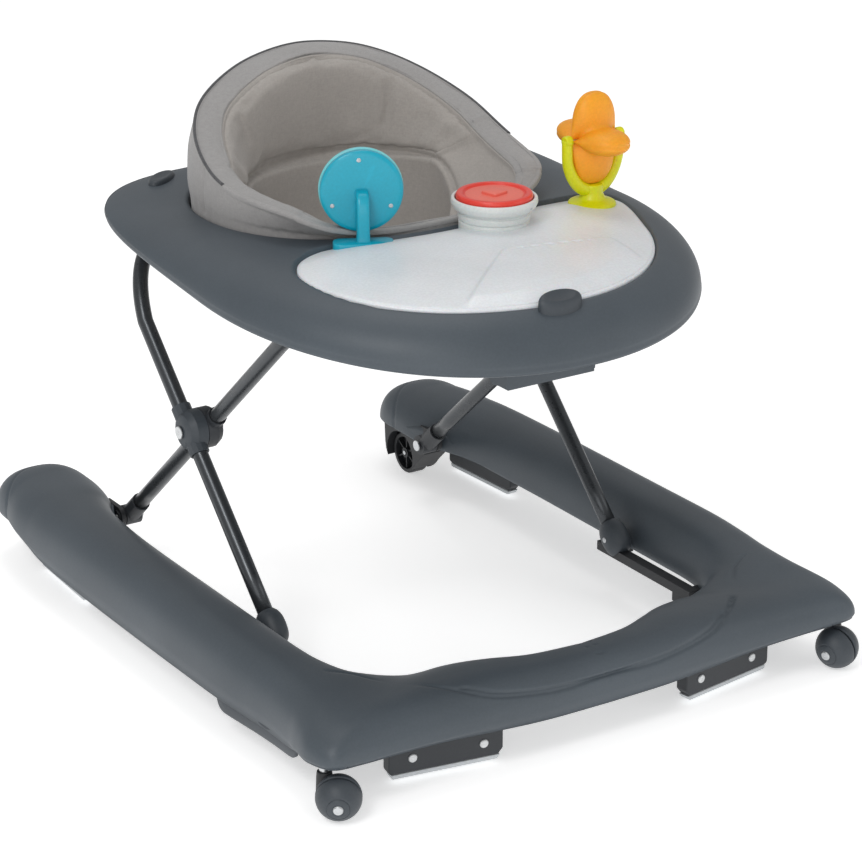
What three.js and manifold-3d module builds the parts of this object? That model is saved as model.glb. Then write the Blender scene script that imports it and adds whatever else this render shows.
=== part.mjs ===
// Baby walker: a horseshoe base on casters, a scissor frame, a height-adjustable ring that
// holds a fabric seat, and a lift-off toy tray. Millimetres, +Z up, the child faces -Y.
import * as THREE from "three";
import { mergeVertices } from "three/addons/utils/BufferGeometryUtils.js";
import Module from "manifold-3d";

const wasm = await Module();
wasm.setup();

// ---------------------------------------------------------------- driving dimensions
const GAP = 0.3; // between pieces that touch
const RUN = 0.6; // around anything that turns or slides
const WALL = 3; // moulded shells

// Base. Right-hand outline from the rear tip to the middle of the crossbar; the left mirrors it.
const BASE_REAR = 440; // rear tip of both arms
const BASE_FRONT = -307; // front face of the crossbar
const ARM_OUT = 303; // outer face of an arm
const ARM_IN = 224; // inner face of an arm
const ARM_TOP = 100; // crown of an arm
const SKIRT_OUT = 33; // lower edge of the outer skirt
const SKIRT_IN = 48; // lower edge of the inner skirt
const CORNER_CLEAR = 46; // lower edge over the swinging casters
const NOSE_LENGTH = 62; // rounded rear end of an arm
const NOSE_CENTRE = 243; // middle of that end across the arm
const ARM_SPRING = 52; // where the vertical skirt turns into the crown

// Scissor. Legs A hinge on the base at the rear, legs B slide on the base at the front.
const HUB_Y = 121;
const HUB_Z = 220;
const ALPHA = THREE.MathUtils.degToRad(41.5); // legs A above the floor
const BETA = THREE.MathUtils.degToRad(45.2); // legs B above the floor
const PIVOT_LOW = 64; // height of the pivots on the base
const PIVOT_HIGH = 380; // height of the pivots under the ring
const TUBE_R = 8;
const LEG_A_X = 186; // middle plane of legs A
const LEG_B_X = 206; // middle plane of legs B
const LEG_B_TOP_X = 118; // where legs B have turned into their cross tube
const BEND_A = 46; // bend radius of legs A
const PIN_R = 3;
const HUB_R = 21;
const SLOT_TRAVEL = 118; // run of the cross tube in the height rack

// Casters and rear wheels.
const CASTER_R = 21.5;
const STEM_X = 296;
const STEM_Y = -280;
const STEM_TOP = 61;
const STEM_R = 5;
const CASTER_TRAIL = 18.4; // from the stem to the middle of the ball
const CASTER_TILT = THREE.MathUtils.degToRad(8); // axle below level
const SWIVEL_LEFT = THREE.MathUtils.degToRad(-78); // direction of each trail at rest
const SWIVEL_RIGHT = THREE.MathUtils.degToRad(-118);
const AXLE_R = 2.5;
const REAR_WHEEL_R = 24;
const REAR_WHEEL_W = 18;
const REAR_WHEEL_X = 215;
const REAR_WHEEL_Y = 372;
const SPOKES = 6;

// Stops: rubber-faced blocks that touch down when a wheel drops over a step.
const STOP_LENGTH = 116;
const STOP_WIDTH = 14;
const STOP_FLOOR = 5; // rubber above the floor
const STOP_RUBBER = 4.5;

// Ring.
const RING_HALF = 254.6;
const RING_FRONT = -271;
const RING_REAR = 303;
const RING_MID = 8.5;
const RING_FRONT_POWER = 2.1;
const RING_REAR_POWER = 4.4;
const RIM_FRONT_Z = 371;
const RIM_REAR_Z = 429;
const RING_TOP = 430;
const RING_DIP = 9; // the top falls this much to its front
const RING_BAND = 64; // width of the rounded outer band
const SEAT_MID_Y = 135;
const OPEN_HALF = 172; // seat opening, half width
const OPEN_LENGTH = 145; // seat opening, half length
const RING_UNDER = 6; // thickness of the ring's top
const RING_LIP = 12; // lip round the seat opening, below the ring's top

// Seat.
const BACK_HALF = 187;
const BACK_DEPTH = 146;
const BACK_MID_Y = 122;
const BACK_LOW = 427;
const BACK_RISE = 129;
const BACK_LEAN = 7;
const BACK_PAD = 15;
const PAN_BOTTOM = 288;
const PAN_WALL = 5;
const LEG_HOLE_R = 50;
const LEG_HOLE_X = 66;

// Toy tray and toys.
const TOY_HALF = 195;
const TOY_FRONT = -238;
const TOY_REAR = 6;
const TOY_REAR_SAG = 23;
const TOY_SHOULDER = 4.5; // squareness of the rear corners
const TOY_EDGE = 4; // upright edge
const TOY_DOME = 9;
const TOY_SEAT_Z = 411; // underside of the toy tray
const MIRROR = { x: -91, y: -22, r: 40, z: 480 };
const BUTTON = { x: 47, y: -40, r: 42, z: 459, travel: 3 };
const SPINNER = { x: 170, y: -31, axis: 499, gap: 52, lobe: 44 };

const PART_SHIFT_Y = -(BASE_REAR + BASE_FRONT - 12.7) / 2; // origin in the middle of the plan

// ---------------------------------------------------------------- materials
const plastic = (color, roughness = 0.5) =>
  new THREE.MeshStandardMaterial({ color, roughness, metalness: 0 });
const SLATE = plastic(0x50585f, 0.48);
const DARK = plastic(0x2b2e31, 0.6);
const STEEL = new THREE.MeshStandardMaterial({ color: 0x3c3f42, roughness: 0.35, metalness: 0.7 });
const BRIGHT = new THREE.MeshStandardMaterial({ color: 0xc4c7c9, roughness: 0.3, metalness: 0.9 });
const RUBBER = plastic(0xbfc3c6, 0.8);
const WHITE = plastic(0xd9dcdf, 0.4);
const FABRIC = plastic(0x8c8884, 0.95);
const FABRIC_DARK = plastic(0x767474, 0.95);
const CYAN = plastic(0x12a9be, 0.4);
const SILVER = new THREE.MeshStandardMaterial({ color: 0xd8dde0, roughness: 0.06, metalness: 1 });
const RED = plastic(0xf0463a, 0.35);
const YELLOW = plastic(0xdcdc14, 0.45);
const ORANGE = plastic(0xf9a428, 0.7);

// ---------------------------------------------------------------- solid helpers
const v3 = (x, y, z) => new THREE.Vector3(x, y, z);
const mix = (a, b, t) => a + (b - a) * t;
const smooth = (t) => THREE.MathUtils.smoothstep(t, 0, 1);
const power = (value, exponent) => Math.sign(value) * Math.abs(value) ** exponent;

// Merged, without collapsed faces, and with its faces turned outward.
function toSolid(geometry) {
  const bare = geometry.clone();
  for (const name of Object.keys(bare.attributes)) {
    if (name !== "position") bare.deleteAttribute(name);
  }
  const merged = mergeVertices(bare, 1e-4);
  const points = merged.attributes.position.array;
  const faces = [];
  for (let i = 0; i < merged.index.count; i += 3) {
    const face = [0, 1, 2].map((k) => merged.index.array[i + k]);
    if (new Set(face).size === 3) faces.push(...face);
  }
  if (volumeOf(points, faces) < 0) faces.reverse();
  return new wasm.Manifold(
    new wasm.Mesh({
      numProp: 3,
      vertProperties: new Float32Array(points),
      triVerts: new Uint32Array(faces),
    }),
  );
}

function volumeOf(points, index) {
  const at = (i) => v3(points[3 * i], points[3 * i + 1], points[3 * i + 2]);
  let volume = 0;
  for (let i = 0; i < index.length; i += 3) {
    volume += at(index[i]).dot(at(index[i + 1]).cross(at(index[i + 2]))) / 6;
  }
  return volume;
}

function toGeometry(solid) {
  const mesh = solid.getMesh();
  const geometry = new THREE.BufferGeometry();
  const points = new Float32Array(mesh.numVert * 3);
  for (let i = 0; i < mesh.numVert; i++) {
    points.set(mesh.vertProperties.subarray(i * mesh.numProp, i * mesh.numProp + 3), i * 3);
  }
  geometry.setAttribute("position", new THREE.BufferAttribute(points, 3));
  geometry.setIndex(new THREE.BufferAttribute(new Uint32Array(mesh.triVerts), 1));
  geometry.computeVertexNormals();
  return geometry;
}

const cut = (body, ...tools) =>
  toGeometry(tools.reduce((solid, tool) => solid.subtract(toSolid(tool)), toSolid(body)));
const join = (body, ...others) =>
  toGeometry(others.reduce((solid, other) => solid.add(toSolid(other)), toSolid(body)));
const common = (a, b) => toGeometry(toSolid(a).intersect(toSolid(b)));

// A closed skin over loops of equal point count. Open lofts get a fan at each end.
function loft(loops, closed = false) {
  const count = loops[0].length;
  const points = loops.flat().flatMap((p) => [p.x, p.y, p.z]);
  const index = [];
  const rows = closed ? loops.length : loops.length - 1;
  for (let i = 0; i < rows; i++) {
    for (let j = 0; j < count; j++) {
      const a = i * count + j;
      const b = i * count + ((j + 1) % count);
      const c = ((i + 1) % loops.length) * count + j;
      const d = ((i + 1) % loops.length) * count + ((j + 1) % count);
      index.push(a, c, b, b, c, d);
    }
  }
  if (!closed) {
    [0, loops.length - 1].forEach((row, end) => {
      const middle = points.length / 3;
      const centre = loops[row].reduce((sum, p) => sum.add(p), v3(0, 0, 0)).divideScalar(count);
      points.push(centre.x, centre.y, centre.z);
      for (let j = 0; j < count; j++) {
        const a = row * count + j;
        const b = row * count + ((j + 1) % count);
        index.push(...(end ? [a, middle, b] : [a, b, middle]));
      }
    });
  }
  return outward(points, index);
}

// Turns every face round when the enclosed volume comes out negative.
function outward(points, index) {
  if (volumeOf(points, index) < 0) index.reverse();
  const geometry = new THREE.BufferGeometry();
  geometry.setAttribute("position", new THREE.Float32BufferAttribute(points, 3));
  geometry.setIndex(index);
  geometry.computeVertexNormals();
  return geometry;
}

const box = (x0, x1, y0, y1, z0, z1) =>
  new THREE.BoxGeometry(x1 - x0, y1 - y0, z1 - z0).translate(
    (x0 + x1) / 2,
    (y0 + y1) / 2,
    (z0 + z1) / 2,
  );

// A body of revolution: profile of [radius, height] turned about +Z.
const turned = (profile, segments = 32) =>
  toGeometry(
    toSolid(
      new THREE.LatheGeometry(
        profile.map(([r, z]) => new THREE.Vector2(r, z)),
        segments,
      ).rotateX(Math.PI / 2),
    ),
  );

const rod = (radius, length, segments = 16) =>
  new THREE.CylinderGeometry(radius, radius, length, segments).rotateX(Math.PI / 2);

// A rod from one point to another.
function rodBetween(from, to, radius, segments = 16) {
  const along = to.clone().sub(from);
  const turn = new THREE.Quaternion().setFromUnitVectors(v3(0, 0, 1), along.clone().normalize());
  return rod(radius, along.length(), segments)
    .applyQuaternion(turn)
    .translate((from.x + to.x) / 2, (from.y + to.y) / 2, (from.z + to.z) / 2);
}

// A side view (y, z) drawn as a Shape, made solid between two planes of x.
function plate(shape, x0, x1, segments = 8) {
  return new THREE.ExtrudeGeometry(shape, {
    depth: x1 - x0,
    bevelEnabled: false,
    curveSegments: segments,
  })
    .applyMatrix4(new THREE.Matrix4().set(0, 0, 1, x0, 1, 0, 0, 0, 0, 1, 0, 0, 0, 0, 0, 1));
}

// Mirror in x, faces kept outward.
function mirrored(geometry) {
  const solid = geometry.index ? geometry.toNonIndexed() : geometry.clone();
  solid.scale(-1, 1, 1);
  const p = solid.attributes.position;
  for (let i = 0; i < p.count; i += 3) {
    const a = [p.getX(i), p.getY(i), p.getZ(i)];
    p.setXYZ(i, p.getX(i + 1), p.getY(i + 1), p.getZ(i + 1));
    p.setXYZ(i + 1, ...a);
  }
  solid.computeVertexNormals();
  return solid;
}

const walker = new THREE.Group();
walker.position.y = PART_SHIFT_Y;

function add(name, geometry, material) {
  const mesh = new THREE.Mesh(geometry, material);
  mesh.name = name;
  walker.add(mesh);
  return mesh;
}

function addPair(name, geometry, material) {
  add(name + "_right", geometry, material);
  add(name + "_left", mirrored(geometry), material);
}

// ---------------------------------------------------------------- base shell
// Each station: outer point, inner point, crown height, lower edges outside and inside.
function baseStations() {
  const arm = (y, out, inside, inner = SKIRT_IN, top = ARM_TOP) => ({
    out: [out, y],
    inside: [inside, y],
    top,
    low: SKIRT_OUT,
    inner,
  });
  const front = (out, inside, top, low, inner = low + 8) => ({ out, inside, top, low, inner });
  const F = BASE_FRONT;
  return [
    arm(BASE_REAR - NOSE_LENGTH, 296, 190, 62),
    arm(345, 301, 191, 66),
    arm(312, ARM_OUT, 203, 74),
    arm(270, ARM_OUT, 205, 70),
    arm(235, ARM_OUT, 213),
    arm(190, ARM_OUT, ARM_IN - 2),
    arm(120, ARM_OUT, ARM_IN),
    arm(0, ARM_OUT, ARM_IN),
    arm(-95, ARM_OUT, ARM_IN),
    front([296, -148], [ARM_IN, -135], 99, SKIRT_OUT, SKIRT_IN),
    front([292, -182], [ARM_IN - 4, -158], 97, SKIRT_OUT, SKIRT_IN),
    front([297, -222], [ARM_IN - 16, -182], 95, SKIRT_OUT + 2, 46),
    front([305, -248], [ARM_IN - 34, -194], 92, CORNER_CLEAR, 46),
    front([312, -278], [ARM_IN - 52, -202], 88, CORNER_CLEAR + 1, 46),
    front([302, F + 4], [ARM_IN - 70, -207], 86, CORNER_CLEAR + 1, 46),
    front([272, F + 2], [ARM_IN - 86, -209], 87, CORNER_CLEAR, 44),
    front([235, F + 4], [ARM_IN - 102, -210], 88, 41, 42),
    front([185, F + 4], [ARM_IN - 120, -215], 90, 37, 40),
    front([130, F + 2], [84, -226], 91, 34, 38),
    front([70, F], [50, -240], 89, 31, 36),
    front([0, F], [0, -246], 88, 30, 36),
  ];
}

// The rounded rear end: the last station shrunk along a superellipse.
function noseStations(first) {
  return [0.45, 0.72, 0.88, 0.97, 1].map((u) => {
    const k = Math.max((1 - u ** 2.5) ** (1 / 2.2), 0.02);
    const y = BASE_REAR - NOSE_LENGTH + NOSE_LENGTH * u;
    const mid = ARM_SPRING + 4;
    return {
      out: [mix(NOSE_CENTRE, first.out[0], k), y],
      inside: [mix(NOSE_CENTRE, first.inside[0], k), y],
      top: mix(mid, first.top, k),
      low: mix(mid - 6, first.low, k),
      inner: mix(mid - 6, first.inner, k),
    };
  });
}

function alongStations(stations, smoothness) {
  const pick = (f) => new THREE.CatmullRomCurve3(stations.map(f), false, "centripetal");
  const out = pick((s) => v3(s.out[0], s.out[1], s.low));
  const inside = pick((s) => v3(s.inside[0], s.inside[1], s.inner));
  const tops = pick((s) => v3((s.out[0] + s.inside[0]) / 2, (s.out[1] + s.inside[1]) / 2, s.top));
  const n = (stations.length - 1) * smoothness;
  return Array.from({ length: n + 1 }, (_, i) => ({
    out: out.getPoint(i / n),
    inside: inside.getPoint(i / n),
    top: tops.getPoint(i / n).z,
  }));
}

// One cross-section of the base, grown by `grow`, with its lower edges dropped by `drop`.
function baseLoop(station, grow, drop, arcs) {
  const across = station.inside.clone().sub(station.out).setZ(0);
  const width = across.length();
  across.normalize();
  const out = station.out.clone().addScaledVector(across, -grow);
  const span = width + 2 * grow;
  const at = (share, z) => v3(out.x, out.y, 0).addScaledVector(across, share * span).setZ(z);
  const spring = Math.min(ARM_SPRING, station.top - 12);
  const loop = [at(3 / span, station.out.z - drop)];
  for (let i = 0; i <= arcs; i++) {
    const t = (Math.PI * i) / arcs;
    const share = (1 - power(Math.cos(t), 2 / 2.5)) / 2;
    const rise = Math.sin(t) ** (2 / 2.2);
    loop.push(at(share, mix(Math.max(spring, station.out.z - drop + 4), station.top + grow, rise)));
  }
  loop.push(at(1 - 1.5 / span, station.inside.z - drop));
  return loop;
}

function halfBase(grow, drop, arcs, smoothness, inset) {
  const stations = baseStations();
  const nose = noseStations(stations[0]).reverse();
  const half = alongStations([...nose, ...stations], smoothness);
  const kept = half.filter((s) => s.out.y < BASE_REAR - inset || s.out.x < ARM_IN - 30);
  return kept.map((s) => baseLoop(s, grow, drop, arcs));
}

function baseSolid(grow = 0, drop = 0, arcs = 8, smoothness = 1, inset = -1) {
  const right = halfBase(grow, drop, arcs, smoothness, inset);
  const left = right
    .slice(0, -1)
    .map((loop) => loop.map((p) => v3(-p.x, p.y, p.z)))
    .reverse();
  return loft([...right, ...left]);
}

const baseCavity = (extra = 0) => baseSolid(-WALL - extra, 60, 6, 1, WALL + 5 + extra);

function stemSocket(side) {
  return turned([
    [0, STEM_TOP + 1],
    [STEM_R + RUN, STEM_TOP + 1],
    [STEM_R + RUN, CORNER_CLEAR + 2],
    [STEM_R + 6, CORNER_CLEAR + 2],
    [STEM_R + 6, STEM_TOP + 12],
    [0, STEM_TOP + 12],
  ], 20).translate(side * STEM_X, STEM_Y, 0);
}

function baseShell() {
  const outer = baseSolid();
  const hollow = cut(outer, baseCavity());
  const sockets = [1, -1].map((side) => common(stemSocket(side), outer));
  return join(hollow, ...sockets);
}

// ---------------------------------------------------------------- rails, stops, wheel housings
const SLIDER_Y = HUB_Y - (HUB_Z - PIVOT_LOW) / Math.tan(BETA);
const HINGE_Y = HUB_Y + (HUB_Z - PIVOT_LOW) / Math.tan(ALPHA);
const RACK_Y = HUB_Y - (PIVOT_HIGH - HUB_Z) / Math.tan(ALPHA);
const SADDLE_Y = HUB_Y + (PIVOT_HIGH - HUB_Z) / Math.tan(BETA);
const RAIL_Z = 44.5;
const RAIL_H = 10;
const RAIL_X0 = 199;
const RAIL_X1 = 211;
const SLIDER_HALF = 14;

function slideRail() {
  const front = SLIDER_Y - SLOT_TRAVEL - SLIDER_HALF - 4;
  const rear = SLIDER_Y + SLIDER_HALF + 8;
  const bar = box(RAIL_X0, RAIL_X1, front, rear, RAIL_Z, RAIL_Z + RAIL_H);
  const web = box(RAIL_X0 + 4.5, RAIL_X0 + 8.5, front, front + 34, SKIRT_OUT - 1, RAIL_Z + 2);
  const lugs = [front, rear - 14].map((y) =>
    box(RAIL_X1 - 2, ARM_IN + 12, y, y + 14, RAIL_Z - 6, RAIL_Z + RAIL_H - 2),
  );
  return cut(join(bar, web, ...lugs), shellWithGap());
}

// The base shell's walls, thickened by the gap on both faces.
let gapShell;
function shellWithGap() {
  gapShell ??= cut(baseSolid(GAP, 0), baseCavity(GAP));
  return gapShell;
}

function stopAt(x, y, heading, name) {
  const place = (g) => g.rotateZ(heading).translate(x, y, 0);
  const block = new THREE.Shape();
  const half = STOP_LENGTH / 2;
  const low = STOP_FLOOR + STOP_RUBBER + GAP;
  block.moveTo(-half + 5, low).lineTo(half - 2, low).lineTo(half, low + 3).lineTo(half, 62);
  block.lineTo(-half, 62).lineTo(-half, low + 6).closePath();
  const body = new THREE.ExtrudeGeometry(block, { depth: STOP_WIDTH, bevelEnabled: false })
    .rotateX(Math.PI / 2)
    .translate(0, STOP_WIDTH / 2, 0);
  const strip = new THREE.Shape();
  strip.moveTo(-half + 6, STOP_FLOOR).lineTo(half - 4, STOP_FLOOR);
  strip.lineTo(half - 3, low - GAP).lineTo(-half + 3, low - GAP).closePath();
  const rubber = new THREE.ExtrudeGeometry(strip, { depth: STOP_WIDTH - 1, bevelEnabled: false })
    .rotateX(Math.PI / 2)
    .translate(0, (STOP_WIDTH - 1) / 2, 0);
  addPair("stop_block_" + name, cut(place(body), shellWithGap()), DARK);
  addPair("stop_rubber_" + name, place(rubber), RUBBER);
}

const HOUSING_IN = REAR_WHEEL_X - REAR_WHEEL_W / 2 - 7;
const HOUSING_OUT = REAR_WHEEL_X + REAR_WHEEL_W / 2 + 7;

// Moulded housing: a hood over the wheel, open on its inner face, with the hinge lug in front.
function wheelHousing() {
  const side = new THREE.Shape();
  side.moveTo(REAR_WHEEL_Y + 33, 58).lineTo(REAR_WHEEL_Y + 31, 30);
  side.quadraticCurveTo(REAR_WHEEL_Y + 28, 5, REAR_WHEEL_Y, 4);
  side.quadraticCurveTo(REAR_WHEEL_Y - 20, 4, REAR_WHEEL_Y - 33, 22);
  side.lineTo(REAR_WHEEL_Y - 52, 40).lineTo(REAR_WHEEL_Y - 52, 58).closePath();
  const hood = plate(side, HOUSING_IN, HOUSING_OUT, 6);
  const room = plate(
    new THREE.Shape().absarc(REAR_WHEEL_Y, REAR_WHEEL_R, REAR_WHEEL_R + 3, 0, 2 * Math.PI),
    HOUSING_IN - 1,
    HOUSING_OUT - 4,
    12,
  );
  const floor = box(HOUSING_IN - 1, HOUSING_OUT + 1, REAR_WHEEL_Y - 26, REAR_WHEEL_Y + 26, 0, 7);
  const arm = new THREE.Shape();
  arm.absarc(HINGE_Y, PIVOT_LOW, 11, Math.PI / 2, 1.5 * Math.PI);
  arm.lineTo(REAR_WHEEL_Y - 34, 42).lineTo(REAR_WHEEL_Y - 34, 60);
  arm.lineTo(REAR_WHEEL_Y - 48, PIVOT_LOW + 11).closePath();
  const lug = plate(arm, LEG_A_X + TUBE_R + RUN + 1.5, LEG_A_X + TUBE_R + RUN + 6.5, 8);
  const boss = rod(7, 6, 16).rotateY(Math.PI / 2)
    .translate(LEG_A_X + TUBE_R + RUN + 5, HINGE_Y, PIVOT_LOW);
  const pinHole = rod(PIN_R + 0.4, 40, 16).rotateY(Math.PI / 2).translate(LEG_A_X, HINGE_Y, PIVOT_LOW);
  const axleHole = rod(AXLE_R + GAP, 80, 16).rotateY(Math.PI / 2)
    .translate(REAR_WHEEL_X, REAR_WHEEL_Y, REAR_WHEEL_R);
  const open = cut(join(cut(hood, room, floor), lug, boss), pinHole, axleHole);
  return cut(open, shellWithGap());
}

function rearWheel() {
  const r = REAR_WHEEL_R;
  const w = REAR_WHEEL_W / 2;
  const rim = turned([
    [r - 5, -w], [r - 1, -w], [r, -w + 1.5], [r, w - 1.5], [r - 1, w], [r - 5, w], [r - 5, -w],
  ], 24);
  const boss = rod(6, 2 * w, 14);
  const bore = rod(AXLE_R + RUN, 3 * w, 14);
  const web = rod(r - 4.5, 2.4, 24);
  const spokes = Array.from({ length: SPOKES }, (_, i) =>
    box(5.5, r - 4.5, -0.9, 0.9, -w + 2, w - 2).rotateZ((2 * Math.PI * i) / SPOKES),
  );
  return cut(join(rim, web, boss, ...spokes), bore)
    .rotateY(Math.PI / 2)
    .translate(REAR_WHEEL_X, REAR_WHEEL_Y, r);
}

function rearAxle() {
  const inner = REAR_WHEEL_X - REAR_WHEEL_W / 2 - 1;
  return rod(AXLE_R, HOUSING_OUT + 1 - inner, 16)
    .rotateY(Math.PI / 2)
    .translate((HOUSING_OUT + 1 + inner) / 2, REAR_WHEEL_Y, REAR_WHEEL_R);
}

// ---------------------------------------------------------------- front casters
// Built with the trail along +X and the axle along -Y, then turned to its resting direction.
function caster(side, swivel) {
  const name = side > 0 ? "_right" : "_left";
  const reach = CASTER_TRAIL * Math.SQRT1_2;
  const middle = v3(reach, -reach, CASTER_R);
  const axle = (g) => g.rotateX(Math.PI / 2 + CASTER_TILT).translate(middle.x, middle.y, middle.z);
  const place = (g) => g.rotateZ(swivel + Math.PI / 4).translate(side * STEM_X, STEM_Y, 0);
  const ball = (from, to, radius, n) =>
    Array.from({ length: n + 1 }, (_, i) => {
      const t = mix(from, to, i / n);
      return [radius * Math.cos(t), radius * Math.sin(t)];
    });
  const half = Math.PI / 2;
  const edge = 0.06;
  const dome = axle(turned([
    [AXLE_R + RUN, 1.4], ...ball(edge, half - 0.3, CASTER_R, 6), [AXLE_R + RUN, CASTER_R - 1.6],
    [AXLE_R + RUN, 1.4],
  ], 20));
  const shell = axle(turned([
    [0, -8], [9, -8], [CASTER_R - 4, -3.5], [CASTER_R - 4, -1.4],
    ...ball(-edge, -half, CASTER_R, 6).slice(0, -1), [0, -CASTER_R],
  ], 20));
  const neck = turned([[0, 19], [8, 19], [7.5, 36], [STEM_R + 2.2, 42], [0, 42]], 16);
  const bore = rod(STEM_R + GAP, 30, 16).translate(0, 0, 28 + 15);
  const room = axle(turned([[0, -1.2], [CASTER_R + 8, -1.2], [CASTER_R + 8, 26], [0, 26]], 20));
  const axleHole = axle(rod(AXLE_R + GAP, 26, 16).translate(0, 0, -3));
  add("caster_hood" + name, place(cut(join(shell, neck), bore, room, axleHole)), SLATE);
  add("caster_wheel" + name, place(dome), SLATE);
  const pin = axle(turned([
    [0, -15.5], [AXLE_R, -15.5], [AXLE_R, CASTER_R - 1.0], [4.6, CASTER_R - 1.0],
    [4.2, CASTER_R + 0.3], [0, CASTER_R + 0.7],
  ], 20));
  add("caster_axle" + name, place(pin), BRIGHT);
  const stem = turned([
    [0, 28 + GAP], [STEM_R, 28 + GAP], [STEM_R, STEM_TOP], [0, STEM_TOP],
  ], 16);
  add("caster_stem" + name, place(stem), BRIGHT);
}

// ---------------------------------------------------------------- scissor frame
const HINGE = v3(LEG_A_X, HINGE_Y, PIVOT_LOW);
const along = (from, angle, length) =>
  v3(from.x, from.y + length * Math.cos(angle), from.z + length * Math.sin(angle));

// Legs A and their cross tube: one tube bent into a U.
function legFrameA() {
  const start = v3(LEG_A_X, HINGE_Y - 13 * Math.cos(ALPHA), PIVOT_LOW + 13 * Math.sin(ALPHA));
  const corner = v3(LEG_A_X, RACK_Y, PIVOT_HIGH);
  const before = along(corner, -ALPHA, BEND_A);
  before.y = corner.y + BEND_A * Math.cos(ALPHA);
  before.z = corner.z - BEND_A * Math.sin(ALPHA);
  const after = v3(LEG_A_X - BEND_A, RACK_Y, PIVOT_HIGH);
  return bentTube(start, before, corner, after, 6);
}

// Legs B and their cross tube: straight past the hub, then up and inwards under the ring.
function legFrameB() {
  const start = along(v3(LEG_B_X, SLIDER_Y, PIVOT_LOW), BETA, 9);
  const before = along(v3(LEG_B_X, HUB_Y, HUB_Z), BETA, 125);
  const corner = v3(LEG_B_X - 10, SADDLE_Y - 14, PIVOT_HIGH + 4);
  const after = v3(LEG_B_TOP_X, SADDLE_Y, PIVOT_HIGH);
  return bentTube(start, before, corner, after, 7);
}

// A tube from one foot, round a bend, across, and down to the other foot.
function bentTube(start, before, corner, after, bendSteps) {
  const right = [start];
  const bend = new THREE.QuadraticBezierCurve3(before, corner, after);
  right.push(...bend.getPoints(bendSteps));
  const left = right.map((p) => v3(-p.x, p.y, p.z)).reverse();
  return sweptTube([...right, ...left], TUBE_R, 12);
}

// Rings of points set square to a polyline's own direction, with no twist between them.
function sweptTube(points, radius, sides) {
  const tangents = points.map((p, i) => {
    const a = points[Math.max(i - 1, 0)];
    const b = points[Math.min(i + 1, points.length - 1)];
    return b.clone().sub(a).normalize();
  });
  let normal = v3(0, 0, 1).projectOnPlane(tangents[0]).normalize();
  const loops = points.map((p, i) => {
    normal = normal.clone().projectOnPlane(tangents[i]).normalize();
    const side = tangents[i].clone().cross(normal);
    return Array.from({ length: sides }, (_, k) => {
      const t = (2 * Math.PI * (k + 0.5)) / sides;
      return p.clone().addScaledVector(normal, radius * Math.cos(t))
        .addScaledVector(side, radius * Math.sin(t));
    });
  });
  return loft(loops);
}

// Plastic foot on each end of legs A, with the hinge eye.
function legFoot() {
  const eye = rod(11, 2 * TUBE_R + 2, 20).rotateY(Math.PI / 2).translate(HINGE.x, HINGE.y, HINGE.z);
  const top = v3(HINGE.x, HINGE.y - 34 * Math.cos(ALPHA), HINGE.z + 34 * Math.sin(ALPHA));
  const sleeve = rodBetween(HINGE, top, TUBE_R + 2, 16);
  const outside = box(HINGE.x + TUBE_R + 1.3, HINGE.x + 30, 0, 500, 0, 200);
  const inTube = v3(HINGE.x, HINGE.y - 12.5 * Math.cos(ALPHA), HINGE.z + 12.5 * Math.sin(ALPHA));
  const far = v3(HINGE.x, HINGE.y - 60 * Math.cos(ALPHA), HINGE.z + 60 * Math.sin(ALPHA));
  const hole = rodBetween(inTube, far, TUBE_R + GAP, 16);
  const pinHole = rod(PIN_R + 0.4, 60, 16).rotateY(Math.PI / 2).translate(HINGE.x, HINGE.y, HINGE.z);
  return cut(join(eye, sleeve), hole, pinHole, outside);
}

function hingePin() {
  const out = LEG_A_X + TUBE_R + RUN + 8.5;
  const inside = LEG_A_X - TUBE_R - 3.5;
  const shank = rod(PIN_R, out - inside, 18).rotateY(Math.PI / 2)
    .translate((out + inside) / 2, HINGE_Y, PIVOT_LOW);
  const head = rod(6, 2, 20).rotateY(Math.PI / 2).translate(inside - 0.6, HINGE_Y, PIVOT_LOW);
  return join(shank, head);
}

// Hub: a clamp round each leg and a pin through both.
const HUB_SPLIT = (LEG_A_X + LEG_B_X) / 2;

function hubClamp(tubeX, angle, face, domeOut) {
  const inner = Math.min(face, domeOut);
  const outer = Math.max(face, domeOut);
  const dome = outer > HUB_SPLIT ? 1 : -1;
  const depth = outer - inner;
  const body = turned([
    [0, 0], [HUB_R, 0], [HUB_R, depth * 0.55], [HUB_R - 4, depth * 0.85],
    [HUB_R - 10, depth], [0, depth],
  ], 20)
    .rotateY((dome * Math.PI) / 2)
    .translate(face, HUB_Y, HUB_Z);
  const reach = 46;
  const a = along(v3(tubeX, HUB_Y, HUB_Z), angle, -reach);
  const b = along(v3(tubeX, HUB_Y, HUB_Z), angle, reach);
  const ears = rodBetween(
    along(v3(tubeX, HUB_Y, HUB_Z), angle, -27),
    along(v3(tubeX, HUB_Y, HUB_Z), angle, 27),
    TUBE_R + 2,
    12,
  );
  const keep = box(inner, outer, 0, 300, 0, 400);
  const pinRoom = rod(PIN_R + 0.4, 80, 12).rotateY(Math.PI / 2).translate(tubeX, HUB_Y, HUB_Z);
  return cut(common(join(body, ears), keep), rodBetween(a, b, TUBE_R + 2 * GAP, 12), pinRoom);
}

// A head at each end of the hub's pin; the shank runs through drilled legs.
function hubPin() {
  const inside = LEG_A_X - TUBE_R - 4.2;
  const out = LEG_B_X + TUBE_R + 4.2;
  const shank = rod(PIN_R - 0.4, out - inside, 14).rotateY(Math.PI / 2)
    .translate((inside + out) / 2, HUB_Y, HUB_Z);
  const head = rod(6.5, 1.8, 20).rotateY(Math.PI / 2).translate(out + 0.9, HUB_Y, HUB_Z);
  const tail = rod(6.5, 1.8, 20).rotateY(Math.PI / 2).translate(inside - 0.9, HUB_Y, HUB_Z);
  return join(shank, head, tail);
}

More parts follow.
